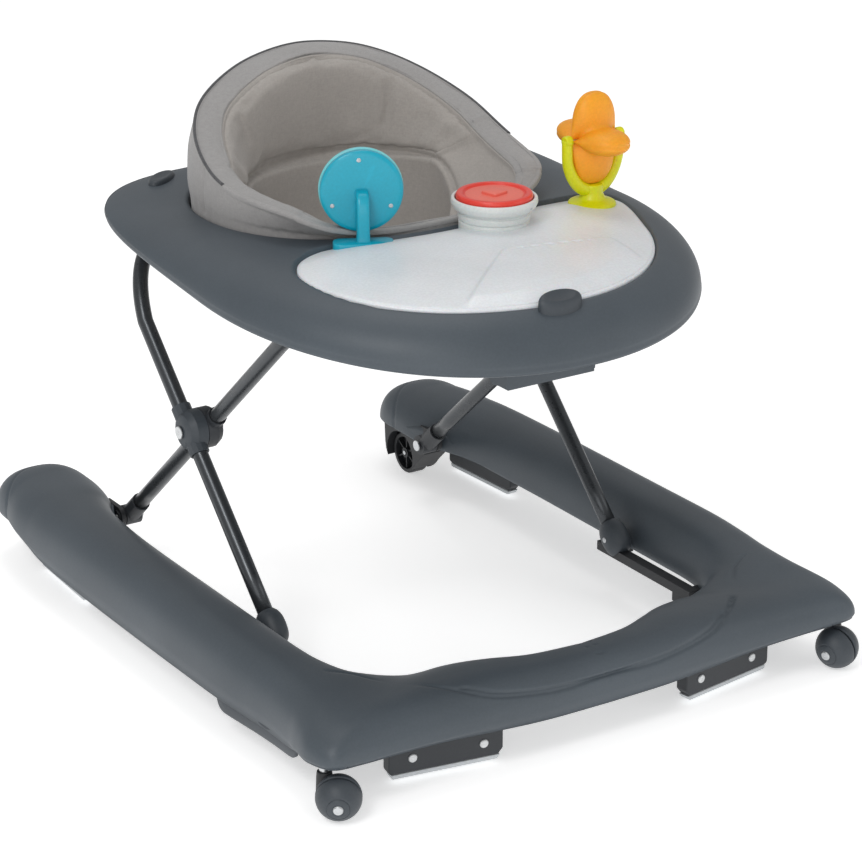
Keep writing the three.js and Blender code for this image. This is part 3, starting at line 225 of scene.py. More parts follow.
class Shade:
    """A small builder for a Principled material."""

    def __init__(self, name, rough=0.5, metallic=0.0, specular=0.5):
        self.material = bpy.data.materials.new(name)
        self.material.use_nodes = True
        self.tree = self.material.node_tree
        self.shader = self.tree.nodes["Principled BSDF"]
        self.shader.inputs["Roughness"].default_value = rough
        self.shader.inputs["Metallic"].default_value = metallic
        self.shader.inputs["Specular IOR Level"].default_value = specular
        self.where = self.node("ShaderNodeTexCoord").outputs["Object"]
        self.height = None

    def node(self, kind, **settings):
        made = self.tree.nodes.new(kind)
        for key, value in settings.items():
            setattr(made, key, value)
        return made

    def link(self, a, b):
        self.tree.links.new(a, b)

    def noise(self, scale, detail=2.0, rough=0.5, stretch=None):
        made = self.node("ShaderNodeTexNoise")
        made.inputs["Scale"].default_value = scale
        made.inputs["Detail"].default_value = detail
        made.inputs["Roughness"].default_value = rough
        source = self.where
        if stretch:
            mapping = self.node("ShaderNodeMapping")
            mapping.inputs["Scale"].default_value = stretch
            self.link(source, mapping.inputs["Vector"])
            source = mapping.outputs["Vector"]
        self.link(source, made.inputs["Vector"])
        return made.outputs["Fac"]

    def wave(self, scale, axis, distortion=0.0):
        made = self.node("ShaderNodeTexWave", bands_direction=axis)
        made.inputs["Scale"].default_value = scale
        made.inputs["Distortion"].default_value = distortion
        made.inputs["Detail"].default_value = 1.0
        self.link(self.where, made.inputs["Vector"])
        return made.outputs["Fac"]

    def math(self, operation, a, b):
        made = self.node("ShaderNodeMath", operation=operation)
        for socket, value in zip(made.inputs, (a, b)):
            if isinstance(value, (int, float)):
                socket.default_value = value
            else:
                self.link(value, socket)
        return made.outputs[0]

    def ramp(self, fac, stops):
        made = self.node("ShaderNodeValToRGB")
        band = made.color_ramp
        while len(band.elements) < len(stops):
            band.elements.new(0.5)
        for element, (place, colour) in zip(band.elements, stops):
            element.position = place
            element.color = (*colour, 1) if len(colour) == 3 else colour
        self.link(fac, made.inputs["Fac"])
        return made.outputs["Color"]

    def mix(self, fac, a, b, kind="MIX"):
        made = self.node("ShaderNodeMix", data_type="RGBA", blend_type=kind)
        for socket, value in ((made.inputs[0], fac), (made.inputs[6], a), (made.inputs[7], b)):
            if isinstance(value, (int, float)):
                socket.default_value = value
            elif isinstance(value, tuple):
                socket.default_value = (*value, 1)
            else:
                self.link(value, socket)
        return made.outputs[2]

    def bump(self, height, strength, distance):
        made = self.node("ShaderNodeBump")
        made.inputs["Strength"].default_value = strength
        made.inputs["Distance"].default_value = distance
        self.link(height, made.inputs["Height"])
        if self.height is not None:
            self.link(self.height, made.inputs["Normal"])
        self.height = made.outputs["Normal"]
        self.link(self.height, self.shader.inputs["Normal"])

    def colour(self, socket):
        self.link(socket, self.shader.inputs["Base Color"])

    def roughness(self, fac, low, high):
        made = self.node("ShaderNodeMapRange")
        made.inputs["To Min"].default_value = low
        made.inputs["To Max"].default_value = high
        self.link(fac, made.inputs["Value"])
        self.link(made.outputs["Result"], self.shader.inputs["Roughness"])


def scaled(rgb, k):
    return tuple(min(c * k, 1.0) for c in rgb)


def plastic(name, rgb, rough=0.45, grain=0.12, coat=0.0, edge=0.12, subsurface=0.0):
    """Moulded plastic: fine grain, slow colour drift, faint rub on its edges."""
    s = Shade(name, rough)
    base = linear(rgb)
    drift = s.ramp(s.noise(9, 3), [(0.3, scaled(base, 0.93)), (0.7, scaled(base, 1.07))])
    specks = s.ramp(s.noise(420, 2), [(0.35, (0.9,) * 3), (0.7, (1.06,) * 3)])
    tone = s.mix(0.5, drift, specks, "MULTIPLY")
    pointed = s.node("ShaderNodeNewGeometry").outputs["Pointiness"]
    rub = s.ramp(pointed, [(0.52, (0.0,) * 3), (0.6, (edge,) * 3)])
    s.colour(s.mix(rub, tone, scaled(base, 1.9)))
    s.roughness(s.noise(14, 4), rough - 0.06, rough + 0.08)
    s.bump(s.noise(1500, 3, 0.6), grain, 0.0004)
    s.bump(s.noise(28, 2), 0.05, 0.002)
    s.shader.inputs["Coat Weight"].default_value = coat
    s.shader.inputs["Coat Roughness"].default_value = 0.2
    if subsurface:
        s.shader.inputs["Subsurface Weight"].default_value = subsurface
        s.shader.inputs["Subsurface Scale"].default_value = 0.003
    return s.material


def metal(name, rgb, rough=0.3, metallic=1.0, brushed=(1, 1, 14), scratch=0.05):
    """Metal or metallic paint with drawn streaks and small rubs."""
    s = Shade(name, rough, metallic)
    base = linear(rgb)
    streak = s.noise(160, 3, 0.6, stretch=brushed)
    tone = s.ramp(streak, [(0.3, scaled(base, 0.86)), (0.72, scaled(base, 1.14))])
    pointed = s.node("ShaderNodeNewGeometry").outputs["Pointiness"]
    rub = s.ramp(pointed, [(0.53, (0.0,) * 3), (0.64, (0.25,) * 3)])
    s.colour(s.mix(rub, tone, scaled(base, 1.8)))
    s.roughness(s.noise(60, 4), rough - 0.07, rough + 0.1)
    s.bump(streak, scratch, 0.0003)
    return s.material


def fabric(name, rgb, weave=1150, heather=0.05, sheen=0.3):
    """Woven polyester: two crossing yarns, heathered colour, soft fuzz."""
    s = Shade(name, 0.92, specular=0.25)
    base = linear(rgb)
    yarn = s.noise(620, 3, 0.7, stretch=(1, 1, 0.35))
    cross = s.noise(620, 3, 0.7, stretch=(0.35, 0.35, 1))
    heathered = s.ramp(s.math("ADD", s.math("MULTIPLY", yarn, 0.5), s.math("MULTIPLY", cross, 0.5)),
                       [(0.36, scaled(base, 1 - heather * 1.6)), (0.62, scaled(base, 1 + heather * 1.5))])
    worn = s.ramp(s.noise(16, 4), [(0.3, (0.94,) * 3), (0.7, (1.04,) * 3)])
    s.colour(s.mix(0.8, heathered, worn, "MULTIPLY"))
    thread = s.math("MULTIPLY", s.wave(weave, "Z", 1.0), s.wave(weave, "DIAGONAL", 1.0))
    s.bump(thread, 0.25, 0.0004)
    s.bump(s.noise(900, 3), 0.15, 0.0004)
    s.bump(s.noise(30, 2), 0.06, 0.002)
    s.shader.inputs["Sheen Weight"].default_value = sheen
    s.shader.inputs["Sheen Roughness"].default_value = 0.5
    return s.material


SLATE = plastic("slate_moulded", (72, 80, 87), 0.46)
SLATE_DEEP = plastic("slate_deep", (60, 66, 72), 0.5)
CHARCOAL = plastic("charcoal_moulded", (46, 49, 53), 0.5, edge=0.2)
BLACK = plastic("black_moulded", (30, 32, 35), 0.5, edge=0.2)
TUBE = metal("powder_coated_tube", (74, 77, 80), 0.27, 0.6, scratch=0.02)
STEEL = metal("zinc_steel", (200, 202, 204), 0.3)
RIVET = metal("pale_rivet", (214, 216, 217), 0.42, 0.6)
GREY_RUBBER = plastic("grip_rubber_grey", (196, 200, 203), 0.75, grain=0.3, edge=0.05)
WHITE = plastic("white_moulded", (226, 229, 232), 0.34, grain=0.06, coat=0.15, edge=0.0, subsurface=0.1)
WHITE_TOY = plastic("white_toy", (218, 222, 220), 0.36, grain=0.06, coat=0.15, edge=0.0, subsurface=0.1)
CYAN = plastic("cyan_toy", (0, 163, 188), 0.33, grain=0.05, coat=0.2, edge=0.08)
AQUA = plastic("aqua_rim", (120, 208, 214), 0.33, grain=0.05, coat=0.2, edge=0.05, subsurface=0.15)
RED = plastic("red_toy", (232, 62, 48), 0.32, grain=0.05, coat=0.2, edge=0.08)
RED_PALE = plastic("red_panel", (238, 116, 100), 0.4, grain=0.08, edge=0.05)
YELLOW = plastic("yellow_toy", (222, 226, 0), 0.4, grain=0.05, coat=0.1, edge=0.05, subsurface=0.15)
ORANGE = plastic("orange_toy", (250, 166, 30), 0.5, grain=0.12, edge=0.05, subsurface=0.25)
MIRROR = metal("mirror_film", (225, 230, 232), 0.05, 1.0, scratch=0.0)
CLOTH = fabric("seat_cloth", (168, 163, 158))
CLOTH_BAND = fabric("seat_cloth_band", (158, 156, 155))
PIPING = fabric("seat_piping", (84, 84, 86), heather=0.2)


# ---------------------------------------------------------------- placing helpers
def settle(piece, body, slot, *nodes):
    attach(piece, body)
    if nodes:
        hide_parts(*nodes)
    return piece


def soften(node, material, width=0.7, segments=2, angle=28):
    """A CAD node that stays: small rounded edges, smooth faces and a finished material."""
    obj = NODES[node]
    for slot in obj.material_slots:
        slot.material = material
    if not obj.material_slots:
        obj.data.materials.append(material)
    weld = obj.modifiers.new("weld", "WELD")
    weld.merge_threshold = 2e-5
    flat = obj.modifiers.new("planar", "DECIMATE")
    flat.decimate_type = "DISSOLVE"
    flat.angle_limit = math.radians(1.5)
    bevel = obj.modifiers.new("edges", "BEVEL")
    bevel.width = width / 1000
    bevel.segments = segments
    bevel.limit_method = "ANGLE"
    bevel.angle_limit = math.radians(angle)
    bevel.harden_normals = False
    obj.data.polygons.foreach_set("use_smooth", [True] * len(obj.data.polygons))
    weighted = obj.modifiers.new("normals", "WEIGHTED_NORMAL")
    weighted.keep_sharp = True
    return obj


# ---------------------------------------------------------------- base shell
BASE_REAR, BASE_FRONT = 436, -307
ARM_SPRING, NOSE_LENGTH, NOSE_CENTRE = 52, 62, 243
SHELL = 3.0
ARC_POINTS = 111  # points of a cross-section that lie on its outside


def base_stations():
    """Outer point, inner point, crown and both lower edges, from the rear to the middle."""
    f = BASE_FRONT
    rows = [
        (294, 374, 190, 374, 98, 54, 64),
        (300, 345, 191, 345, 99, 53, 68),
        (302, 312, 196, 315, 100, 48, 74),
        (303, 285, 207, 290, 100, 43, 70),
        (303, 250, 216, 252, 100, 40, 54),
        (303, 190, 222, 190, 100, 38, 49),
        (303, 120, 224, 120, 100, 37, 48),
        (303, 0, 224, 0, 100, 37, 48),
        (303, -95, 224, -95, 100, 38, 48),
        (300, -148, 223, -135, 99, 38, 48),
        (299, -182, 218, -160, 97, 39, 48),
        (302, -222, 206, -184, 95, 42, 48),
        (308, -248, 190, -196, 93, 49, 48),
        (312, -276, 170, -204, 90, 51, 48),
        (302, f + 4, 152, -208, 88, 52, 48),
        (272, f + 1, 136, -210, 88, 51, 47),
        (235, f + 2, 120, -211, 89, 50, 46),
        (185, f + 3, 102, -216, 90, 48, 45),
        (130, f + 2, 84, -227, 91, 44, 43),
        (70, f, 50, -240, 89, 41, 41),
        (0, f, 0, -246, 88, 40, 40),
    ]
    return np.array(rows, float)


def base_sections(spacing=2.4):
    """The whole U as rows of (out x, out y, in x, in y, crown, low out, low in)."""
    stations = base_stations()
    first = stations[0]
    nose = []
    for u in 1 - np.linspace(0, 1, 60)[1:] ** 1.6 * 0.9995:
        k = max((1 - u**2.5) ** (1 / 2.2), 0.02)
        y = BASE_REAR - NOSE_LENGTH + NOSE_LENGTH * u
        mid = ARM_SPRING + 4
        pull = lambda to, value: to + (value - to) * k
        nose.append((pull(NOSE_CENTRE, first[0]), y, pull(NOSE_CENTRE, first[2]), y,
                     pull(mid, first[4]), pull(mid - 6, first[5]), pull(mid - 6, first[6])))
    body = spline(stations, 900)
    half = np.vstack([nose, body])
    track = np.column_stack([(half[:, 0] + half[:, 2]) / 2, (half[:, 1] + half[:, 3]) / 2])
    steps = np.linalg.norm(np.diff(track, axis=0), axis=1)
    # the rounded end is stepped by how fast its outline turns, the rest by length
    steps = np.maximum(steps, np.linalg.norm(np.diff(half[:, :2], axis=0), axis=1) * 0.7)
    s = np.concatenate([[0], np.cumsum(steps)])
    u = np.linspace(0, s[-1], int(s[-1] / spacing) + 1)
    half = np.stack([np.interp(u, s, half[:, k]) for k in range(7)], 1)
    other = half[-2::-1].copy()
    other[:, [0, 2]] *= -1
    return np.vstack([half, other])


def base_ring(row, arcs=104):
    """One cross-section: outer face, crown, inner face, then back along the inside."""
    out, inside = np.array([row[0], row[1]]), np.array([row[2], row[3]])
    across = inside - out
    width = np.linalg.norm(across)
    across = across / max(width, 1e-6)
    crown, low_out, low_in = row[4:7]
    spring = min(ARM_SPRING, crown - 12)
    t = np.linspace(0, math.pi, arcs + 1)

    def wall(shrink, drop):
        share = (1 - signed_power(np.cos(t), 2 / 2.5)) / 2 * (width - 2 * shrink) + shrink
        rise = np.sin(t) ** (2 / 2.2)
        foot = max(spring, low_out + 4)
        z = foot + (crown - shrink - foot) * rise
        a = [(shrink + 2.0 - 2.0 * q, low_out + drop + (foot - low_out - drop) * q) for q in (0, 0.25, 0.6)]
        below = foot - low_in - drop
        b = [(width - shrink - q, low_in + drop + below * (1 - q)) for q in (0.4, 0.75, 1)]
        return [*a, *zip(share, z), *b]

    outer = wall(0, 0)
    thin = min(SHELL, width * 0.2)
    inner = wall(thin, 0.3)[::-4]
    flat = np.array([*outer, *inner])
    points = np.empty((len(flat), 3))
    points[:, :2] = out + flat[:, :1] * across
    points[:, 2] = flat[:, 1]
    return points


CREASE = [(-151, -283, 87), (-123, -296, 80), (-85, -302, 74), (-48, -304, 71), (5, -304, 69), (51, -305, 68),
          (95, -302, 72), (129, -297, 78), (158, -283, 87), (190, -252, 91), (210, -225, 89), (224, -209, 91),
          (245, -198, 96)]


def base_shell():
    sections = base_sections()
    rows = np.array([base_ring(r) for r in sections])
    normals = row_normals(rows)
    flat = rows.reshape(-1, 3)
    push = np.zeros(len(flat))
    near = flat[:, 1] < -180
    for sign in (1, -1):
        path = spline([(x * sign, y, z) for x, y, z in CREASE], 80)
        d = distance_to(flat[near], path)
        push[near] -= 2.0 * np.exp(-((d / 1.7) ** 2))
    # a parting line arches over each rear end, and a thin one runs above the lower edge
    arch = np.abs(flat[:, 1] - 404 + 0.012 * (np.abs(flat[:, 0]) - 243) ** 2 * (flat[:, 2] > 50))
    push -= 1.2 * np.exp(-((arch / 1.5) ** 2)) * (flat[:, 2] > 52)
    push = push.reshape(rows.shape[:2])
    push[:, ARC_POINTS:] = 0
    push[:, 1] -= 0.8
    centre = rows.mean(1, keepdims=True)
    facing = np.sign(((rows - centre) * normals).sum(2, keepdims=True))
    rows = rows + normals * facing * push[..., None]
    piece = skin("base_shell_moulding", rows, SLATE, caps=False)
    settle(piece, "base", "slate_plastic", "base_shell")
    for side, word in SIDES:
        corner_skirt(side, word)


def corner_skirt(side, word):
    """The lower skirt under the front of each arm, set back behind the upper moulding."""
    rows = []
    for y, out, low in ((-90, 301.0, 38), (-93, 300.6, 30), (-98, 300.4, 26.5), (-110, 300, 26),
                        (-160, 297.5, 27.5), (-196, 297.5, 29), (-222, 299, 31), (-232, 300, 35),
                        (-237, 301, 42)):
        shell = [(out - 4, 50), (out - 0.4, 50), (out - 0.4, low + 2), (out - 1.4, low), (out - 4, low)]
        rows.append([(side * x, y, z) for x, z in shell])
    rows = np.array(rows)
    dense = np.array([spline(rows[:, i], 90) for i in range(rows.shape[1])]).transpose(1, 0, 2)
    piece = skin("base_skirt_" + word, dense, SLATE_DEEP, caps=True)
    settle(piece, "base", "slate_plastic")


# ---------------------------------------------------------------- ring
RING_HALF, RING_FRONT, RING_REAR, RING_MID = 254.6, -271, 303, 8.5
RIM_FRONT_Z, RIM_REAR_Z, RING_TOP, RING_DIP, RING_BAND = 371, 429, 430, 9, 64
SEAT_MID_Y, OPEN_HALF, OPEN_LENGTH = 135, 172, 145
RING_UNDER, RING_LIP = 6, 12
TOY_SEAT_Z = 411


def ring_measure(x, y):
    front = y < RING_MID
    n = np.where(front, 2.1, 4.4)
    length = np.where(front, RING_MID - RING_FRONT, RING_REAR - RING_MID)
    return np.abs(x / RING_HALF) ** n + np.abs((y - RING_MID) / length) ** n


def opening_measure(x, y):
    return np.abs(x / OPEN_HALF) ** 2.15 + np.abs((y - SEAT_MID_Y) / OPEN_LENGTH) ** 2.15


def reach(measure, heading, from_y=100.0):
    """Distance along each heading at which a measure reaches 1."""
    near, far = np.zeros_like(heading), np.full_like(heading, 600.0)
    for _ in range(42):
        r = (near + far) / 2
        inside = measure(r * np.cos(heading), from_y + r * np.sin(heading)) < 1
        near, far = np.where(inside, r, near), np.where(inside, far, r)
    return (near + far) / 2


def rim_z(y):
    return RIM_FRONT_Z + (RIM_REAR_Z - RIM_FRONT_Z) * (y - RING_FRONT) / (RING_REAR - RING_FRONT)


def ring_top_z(y):
    return RING_TOP - RING_DIP * smooth01(-y / -RING_FRONT) + 3 * smooth01((y - 150) / 150)


def deck_depth(y):
    return RING_UNDER + (ring_top_z(y) - (TOY_SEAT_Z - 6) - RING_UNDER) * smooth01((60 - y) / 80)


TOY_REAR, TOY_REAR_SAG, TOY_DOME, TOY_MID_Y = 4, 22, 9, -100
TOY_FRONT, TOY_LEFT, TOY_LEFT_MID_Y, TOY_LEFT_BACK = -231, 187, -78, 110
TOY_RIGHT, TOY_RIGHT_FLARE, TOY_RIGHT_MID_Y = 194, 11, -22


def toy_measure(x, y):
    """The left side is an ellipse; the right side runs straighter and flares a little toward the back."""
    along = np.where(y < TOY_LEFT_MID_Y, TOY_LEFT_MID_Y - TOY_FRONT, TOY_LEFT_BACK)
    left = (x / TOY_LEFT) ** 2 + ((y - TOY_LEFT_MID_Y) / along) ** 2
    half = TOY_RIGHT + TOY_RIGHT_FLARE * smooth01((y + 110) / 90)
    along = np.where(y < TOY_RIGHT_MID_Y, TOY_RIGHT_MID_Y - TOY_FRONT, 400)
    right = np.abs(x / half) ** 2.15 + np.abs((y - TOY_RIGHT_MID_Y) / along) ** 2.15
    share = smooth01((x + 60) / 120)
    rear_edge = TOY_REAR - TOY_REAR_SAG * np.cos(math.pi / 2 * np.minimum(np.abs(x) / 130, 1))
    rear = np.maximum((y - TOY_MID_Y) / (rear_edge - TOY_MID_Y), 0)
    return ((left * (1 - share) + right * share) ** 5 + rear**12) ** 0.2


def toy_edge_z(y):
    return ring_top_z(y) - 1 - 3 * smooth01((y + 40) / 40)


def ring_rows(count=420, arcs=34):
    heading = np.linspace(0, 2 * math.pi, count, endpoint=False)
    outer, inner = reach(ring_measure, heading), reach(opening_measure, heading)
    direction = np.stack([np.cos(heading), np.sin(heading)], 1)

    def ring_at(r, z):
        xy = direction * r[:, None] + (0, 100)
        return np.column_stack([xy, z(xy[:, 1]) if callable(z) else z])

    edge_y = 100 + outer * np.sin(heading)
    rim, depth = rim_z(edge_y), deck_depth(edge_y)
    band = np.minimum(RING_BAND, (outer - inner) * 0.7)
    rows = [ring_at(outer - 5, rim - 4.0), ring_at(outer - 2.2, rim - 4.6), ring_at(outer - 0.4, rim - 3.2),
            ring_at(outer + 0.4, rim - 0.8), ring_at(outer - 0.6, rim + 1.6)]
    for t in np.linspace(0.08, math.pi / 2, arcs):
        r = outer - band * (1 - math.cos(t))
        rows.append(ring_at(r, lambda y, s=math.sin(t): rim + (ring_top_z(y) - rim) * s))
    last = outer - band
    for share in np.linspace(0, 1, 30)[1:]:
        rows.append(ring_at(last + (inner + 5 - last) * share, ring_top_z))
    rows = [sunk_for_toy_tray(row) for row in rows]
    for a in np.linspace(0, math.pi / 2, 7)[1:]:
        rows.append(ring_at(inner + 5 - 5 * math.sin(a), lambda y, a=a: ring_top_z(y) - 5 * (1 - math.cos(a))))
    rows.append(ring_at(inner, lambda y: ring_top_z(y) - depth - RING_LIP))
    rows.append(ring_at(inner + 4.5, lambda y: ring_top_z(y) - depth - RING_LIP))
    rows.append(ring_at(inner + 4.5, lambda y: ring_top_z(y) - depth))
    for t in np.linspace(math.pi / 2, 0, 12):
        r = outer - RING_UNDER - (band - RING_UNDER) * (1 - math.cos(t))
        rows.append(ring_at(r, lambda y, s=math.sin(t): np.maximum(
            rim + (ring_top_z(y) - depth - rim) * s, rim - 3.9)))
    return np.array(rows).transpose(1, 0, 2)


def sunk_for_toy_tray(row):
    """The deck drops under the toy tray, with a small rounded step at its edge."""
    x, y, z = row.T
    inside = 1 - toy_measure(x, y) ** (1 / 2.15)
    step = smooth01((inside * 110 + 1.5) / 4.0)
    low = TOY_SEAT_Z - 0.8
    row = row.copy()
    row[:, 2] = z + (np.minimum(low, z) - z) * step
    return row


def ring():
    piece = skin("tray_ring_moulding", ring_rows(), SLATE, wrap_rows=True)
    settle(piece, "tray", "slate_plastic", "tray_ring")
    bumps = (("front", -13, -236, -2, 23, 6.5), ("rear_left", -150, 271, 40, 25, 0),
             ("rear_right", 150, 271, -40, 25, 0))
    for name, x, y, heading, size, lift in bumps:
        settle(finger_bump("finger_bump_" + name, x, y, heading, size, lift), "tray", "slate_plastic")
    return piece


def finger_bump(name, x, y, heading, size, lift):
    """A raised oval thumb rest with a scooped face."""
    profile = [(0, 3.4), (size * 0.3, 3.8), (size * 0.55, 4.6), (size * 0.74, 5.2), (size * 0.88, 4.4),
               (size * 0.97, 2.2), (size, -1), (size, -9), (0, -9)]
    rows = turned_rows(spline(profile[:8], 28).tolist() + [[size * 0.9, -9]], 72)
    rows[..., 1] *= 0.42
    turn = Matrix.Rotation(math.radians(heading), 3, "Z")
    rows = moved(rows, at(x, y, 0, turn))
    rows[..., 2] += ring_top_z(rows[..., 1]) + drop_to_band(rows) + lift
    return skin(name, rows, SLATE_DEEP, caps=True)


def drop_to_band(rows):
    """How far the ring's surface lies below its top plane at each point."""
    x, y = rows[..., 0], rows[..., 1]
    heading = np.arctan2(y - 100, x)
    outer = reach(ring_measure, heading)
    r = np.hypot(x, y - 100)
    rim = rim_z(100 + outer * np.sin(heading))
    share = np.clip((outer - r) / RING_BAND, 0, 1)
    rise = np.sqrt(np.clip(1 - (1 - share) ** 2, 0, 1))
    return (rim - ring_top_z(y)) * (1 - rise)


# ---------------------------------------------------------------- toy tray
def toy_tray():
    count, rings = 420, 110
    heading = np.linspace(0, 2 * math.pi, count, endpoint=False)
    edge = reach(toy_measure, heading, TOY_MID_Y)
    rows = []

    def loop(share, drop, shrink=0.0):
        r = (edge - shrink) * share
        x, y = r * np.cos(heading), TOY_MID_Y + r * np.sin(heading)
        z = toy_edge_z(y) + TOY_DOME * (1 - share**3) - drop
        return np.column_stack([x, y, z])

    rows.append(np.column_stack([loop(1, 0, 1)[:, :2], np.full(count, TOY_SEAT_Z - 0.4)]))
    for drop, shrink in ((6, 0), (2.6, 0.0), (1.3, 0.35), (0.5, 1.1), (0.1, 2.2)):
        rows.append(loop(1, drop, shrink))
    for share in np.linspace(0.985, 0.02, rings):
        rows.append(loop(share, 0))
    rows = np.array(rows)
    flat = rows.reshape(-1, 3)
    flat[:, 2] += tray_relief(flat[:, 0], flat[:, 1])
    piece = skin("toy_tray_moulding", rows, WHITE, caps=True)
    return settle(piece, "toy_tray", "white_plastic", "toy_tray")


def tray_relief(x, y):
    """A raised palm-rest panel in front, with a row of shallow slots along its back edge."""
    inside = np.clip((1 - toy_measure(x, y) ** (1 / 2.15)) * 8, 0, 1)
    behind = -113 - 0.152 * (x - 5) - y
    left = smooth01(((x - 5) * 40 - (y + 113) * 46) / 61 / 7)
    panel = 3.6 * left * smooth01(behind / 6) * smooth01((124 - x) / 9) * smooth01(inside)
    slots = np.exp(-(((behind - 10) / 2.0) ** 2)) * (np.sin(x * 0.42) > -0.3) * (x > 12) * (x < 92)
    return panel - 0.9 * slots


# ---------------------------------------------------------------- seat
# The top edge of the padded collar, from the middle of the back to the middle of the front.
RIM = [(0, 254, 556), (56, 248, 550), (97, 238, 537), (130, 223, 520), (151, 197, 504), (163, 168, 490),
       (168, 135, 475), (167, 104, 467), (160, 65, 463), (148, 27, 460), (128, 6, 450), (95, -2, 440),
       (50, -6, 435), (0, -7, 434)]
SEAT_COUNT = 360
LEG_HOLES = (66, 82, 47)  # x, y and radius of the holes for the legs
FLOOR_Z = 297


def rim_loop():
    points = np.vstack([RIM, np.array(RIM)[-2:0:-1] * (-1, 1, 1)])
    count = len(points)
    around = np.vstack([points[-2:], points, points[:3]])
    whole = spline(around, (len(around) - 1) * 40 + 1)[80:80 + count * 40]
    angle = np.unwrap(np.arctan2(whole[:, 1] - 120, whole[:, 0]))
    order = np.argsort(np.mod(angle, 2 * math.pi))
    angle = np.mod(angle, 2 * math.pi)[order]
    at_angle = np.linspace(0, 2 * math.pi, SEAT_COUNT, endpoint=False)
    wrap = lambda v: np.concatenate([[v[-1]], v, [v[0]]])
    known = np.concatenate([[angle[-1] - 2 * math.pi], angle, [angle[0] + 2 * math.pi]])
    rim = np.stack([np.interp(at_angle, known, wrap(whole[order, k])) for k in range(3)], 1)
    for _ in range(20):
        rim = (np.roll(rim, 1, 0) + 2 * rim + np.roll(rim, -1, 0)) / 4
    return at_angle, rim


def seat_loops():
    """Loops round the seat, from the band's outer edge inward and down to the floor of the bowl."""
    angle, rim = rim_loop()
    toward = np.stack([np.cos(angle), np.sin(angle), np.zeros(SEAT_COUNT)], 1)
    s = toward[:, 1]
    tall = smooth01((rim[:, 2] - 436) / 100)[:, None]
    up = np.array([0, 0, 1.0])

    def ellipse(a, b_back, b_front, mid, z):
        b = np.where(s > 0, b_back, b_front)
        return np.column_stack([a * toward[:, 0], mid + b * s, np.broadcast_to(z, SEAT_COUNT)])

    ease = 0.55 + 0.45 * smooth01((rim[:, 2:] - 434) / 30)
    band = [rim - up * 2.5, rim - toward * 2.2 * ease, rim - toward * 7 * ease + up * 0.8,
            rim - toward * 15 * ease + up * 0.3, rim - toward * 23 * ease - up * (1.4 + tall),
            rim - toward * 27.5 * ease - up * (4.5 + tall)]
    inner = rim - toward * 30 * ease - up * (12 + 4 * tall)
    seam_z = 442 - 40 * smooth01(-s + 0.15)
    seam = ellipse(110, 82, 98, 150, seam_z)
    middle = (inner + seam) / 2 + toward * 3
    below = ellipse(108, 80, 96, 147, seam_z - 14)
    waist = ellipse(112, 92, 104, 134, 372.0)
    low = ellipse(108, 84, 90, 126, 330.0)
    edge = ellipse(84, 64, 68, 124, 303.0)
    base = ellipse(52, 40, 42, 124, FLOOR_Z + 1)
    centre = ellipse(10, 8, 8, 124, FLOOR_Z)
    return angle, rim, band, [inner, middle, seam, below, waist, low, edge, base, centre]


def gathers(heading, centre, width, amount, count, seed):
    """Radial puckers that fade away from a heading, as cloth drawn up by a seam."""
    rng = np.random.default_rng(seed)
    away = (heading - centre + math.pi) % (2 * math.pi) - math.pi
    total = np.zeros(len(heading))
    for _ in range(count):
        spot = rng.uniform(-width, width)
        total += rng.uniform(0.4, 1) * np.exp(-(((away - spot) / 0.035) ** 2))
    return amount * total * np.exp(-((away / width) ** 2))


def seat_bowl():
    """One sheet of cloth: band, inner wall, seam and bowl, with two holes for the legs."""
    angle, rim, band, inner = seat_loops()
    levels = np.array([*band, *inner])
    rows = np.array([spline(levels[:, i], 240) for i in range(SEAT_COUNT)]).transpose(1, 0, 2)
    count = len(rows)
    share = np.linspace(0, 1, count)[:, None]
    normals = row_normals(rows)
    inward = np.sign((normals * (np.array([0, 120, 420]) - rows)).sum(2, keepdims=True))
    normals = normals * inward
    level = lambda index: index / (len(levels) - 1)
    seam_at, edge_at = level(8), level(5)
    push = np.zeros(rows.shape[:2])
    # the seam sinks between the padded wall and the bowl; the cloth beside it puckers
    push -= 5.0 * np.exp(-(((share - seam_at) / 0.010) ** 2))
    push += 2.2 * np.exp(-(((share - seam_at - 0.045) / 0.03) ** 2))
    ripple = np.sin(angle * 47 + 2 * np.sin(angle * 5)) * (0.5 + 0.5 * np.sin(angle * 9 + 1))
    push += 0.55 * ripple * np.exp(-(((share - seam_at) / 0.035) ** 2))
    push -= 1.1 * np.exp(-(((share - edge_at) / 0.006) ** 2))
    right = gathers(angle, math.radians(12), 0.55, 3.2, 9, 4)
    left = gathers(angle, math.radians(172), 0.4, 1.8, 6, 8)
    front = gathers(angle, math.radians(-62), 0.4, 4.0, 7, 2)
    fade = np.exp(-(((share - seam_at + 0.07) / 0.10) ** 2))
    push += (right + left) * fade + front * np.exp(-(((share - seam_at - 0.05) / 0.12) ** 2))
    flat = rows.reshape(-1, 3)
    slow = soft_noise(flat, 90, 3) * 1.5 + soft_noise(flat, 34, 5) * 0.55
    push += slow.reshape(push.shape) * smooth01((share - 0.02) / 0.1)
    # short seams cross the band
    for heading in (math.radians(171), math.radians(215), math.radians(9), math.radians(-35)):
        away = (angle - heading + math.pi) % (2 * math.pi) - math.pi
        push -= 1.6 * np.exp(-((away * 165 / 1.1) ** 2)) * (share < edge_at + 0.01)
    rows = rows + normals * push[..., None]
    piece = skin("seat_cloth_bowl", rows, CLOTH)
    shade_band(piece, count, edge_at)
    cut_leg_holes(piece)
    sheet = piece.modifiers.new("thickness", "SOLIDIFY")
    sheet.thickness, sheet.offset = 0.0045, -1
    settle(piece, "tray", "seat_fabric", "seat_pan", "seat_back")
    return angle, rim, rows


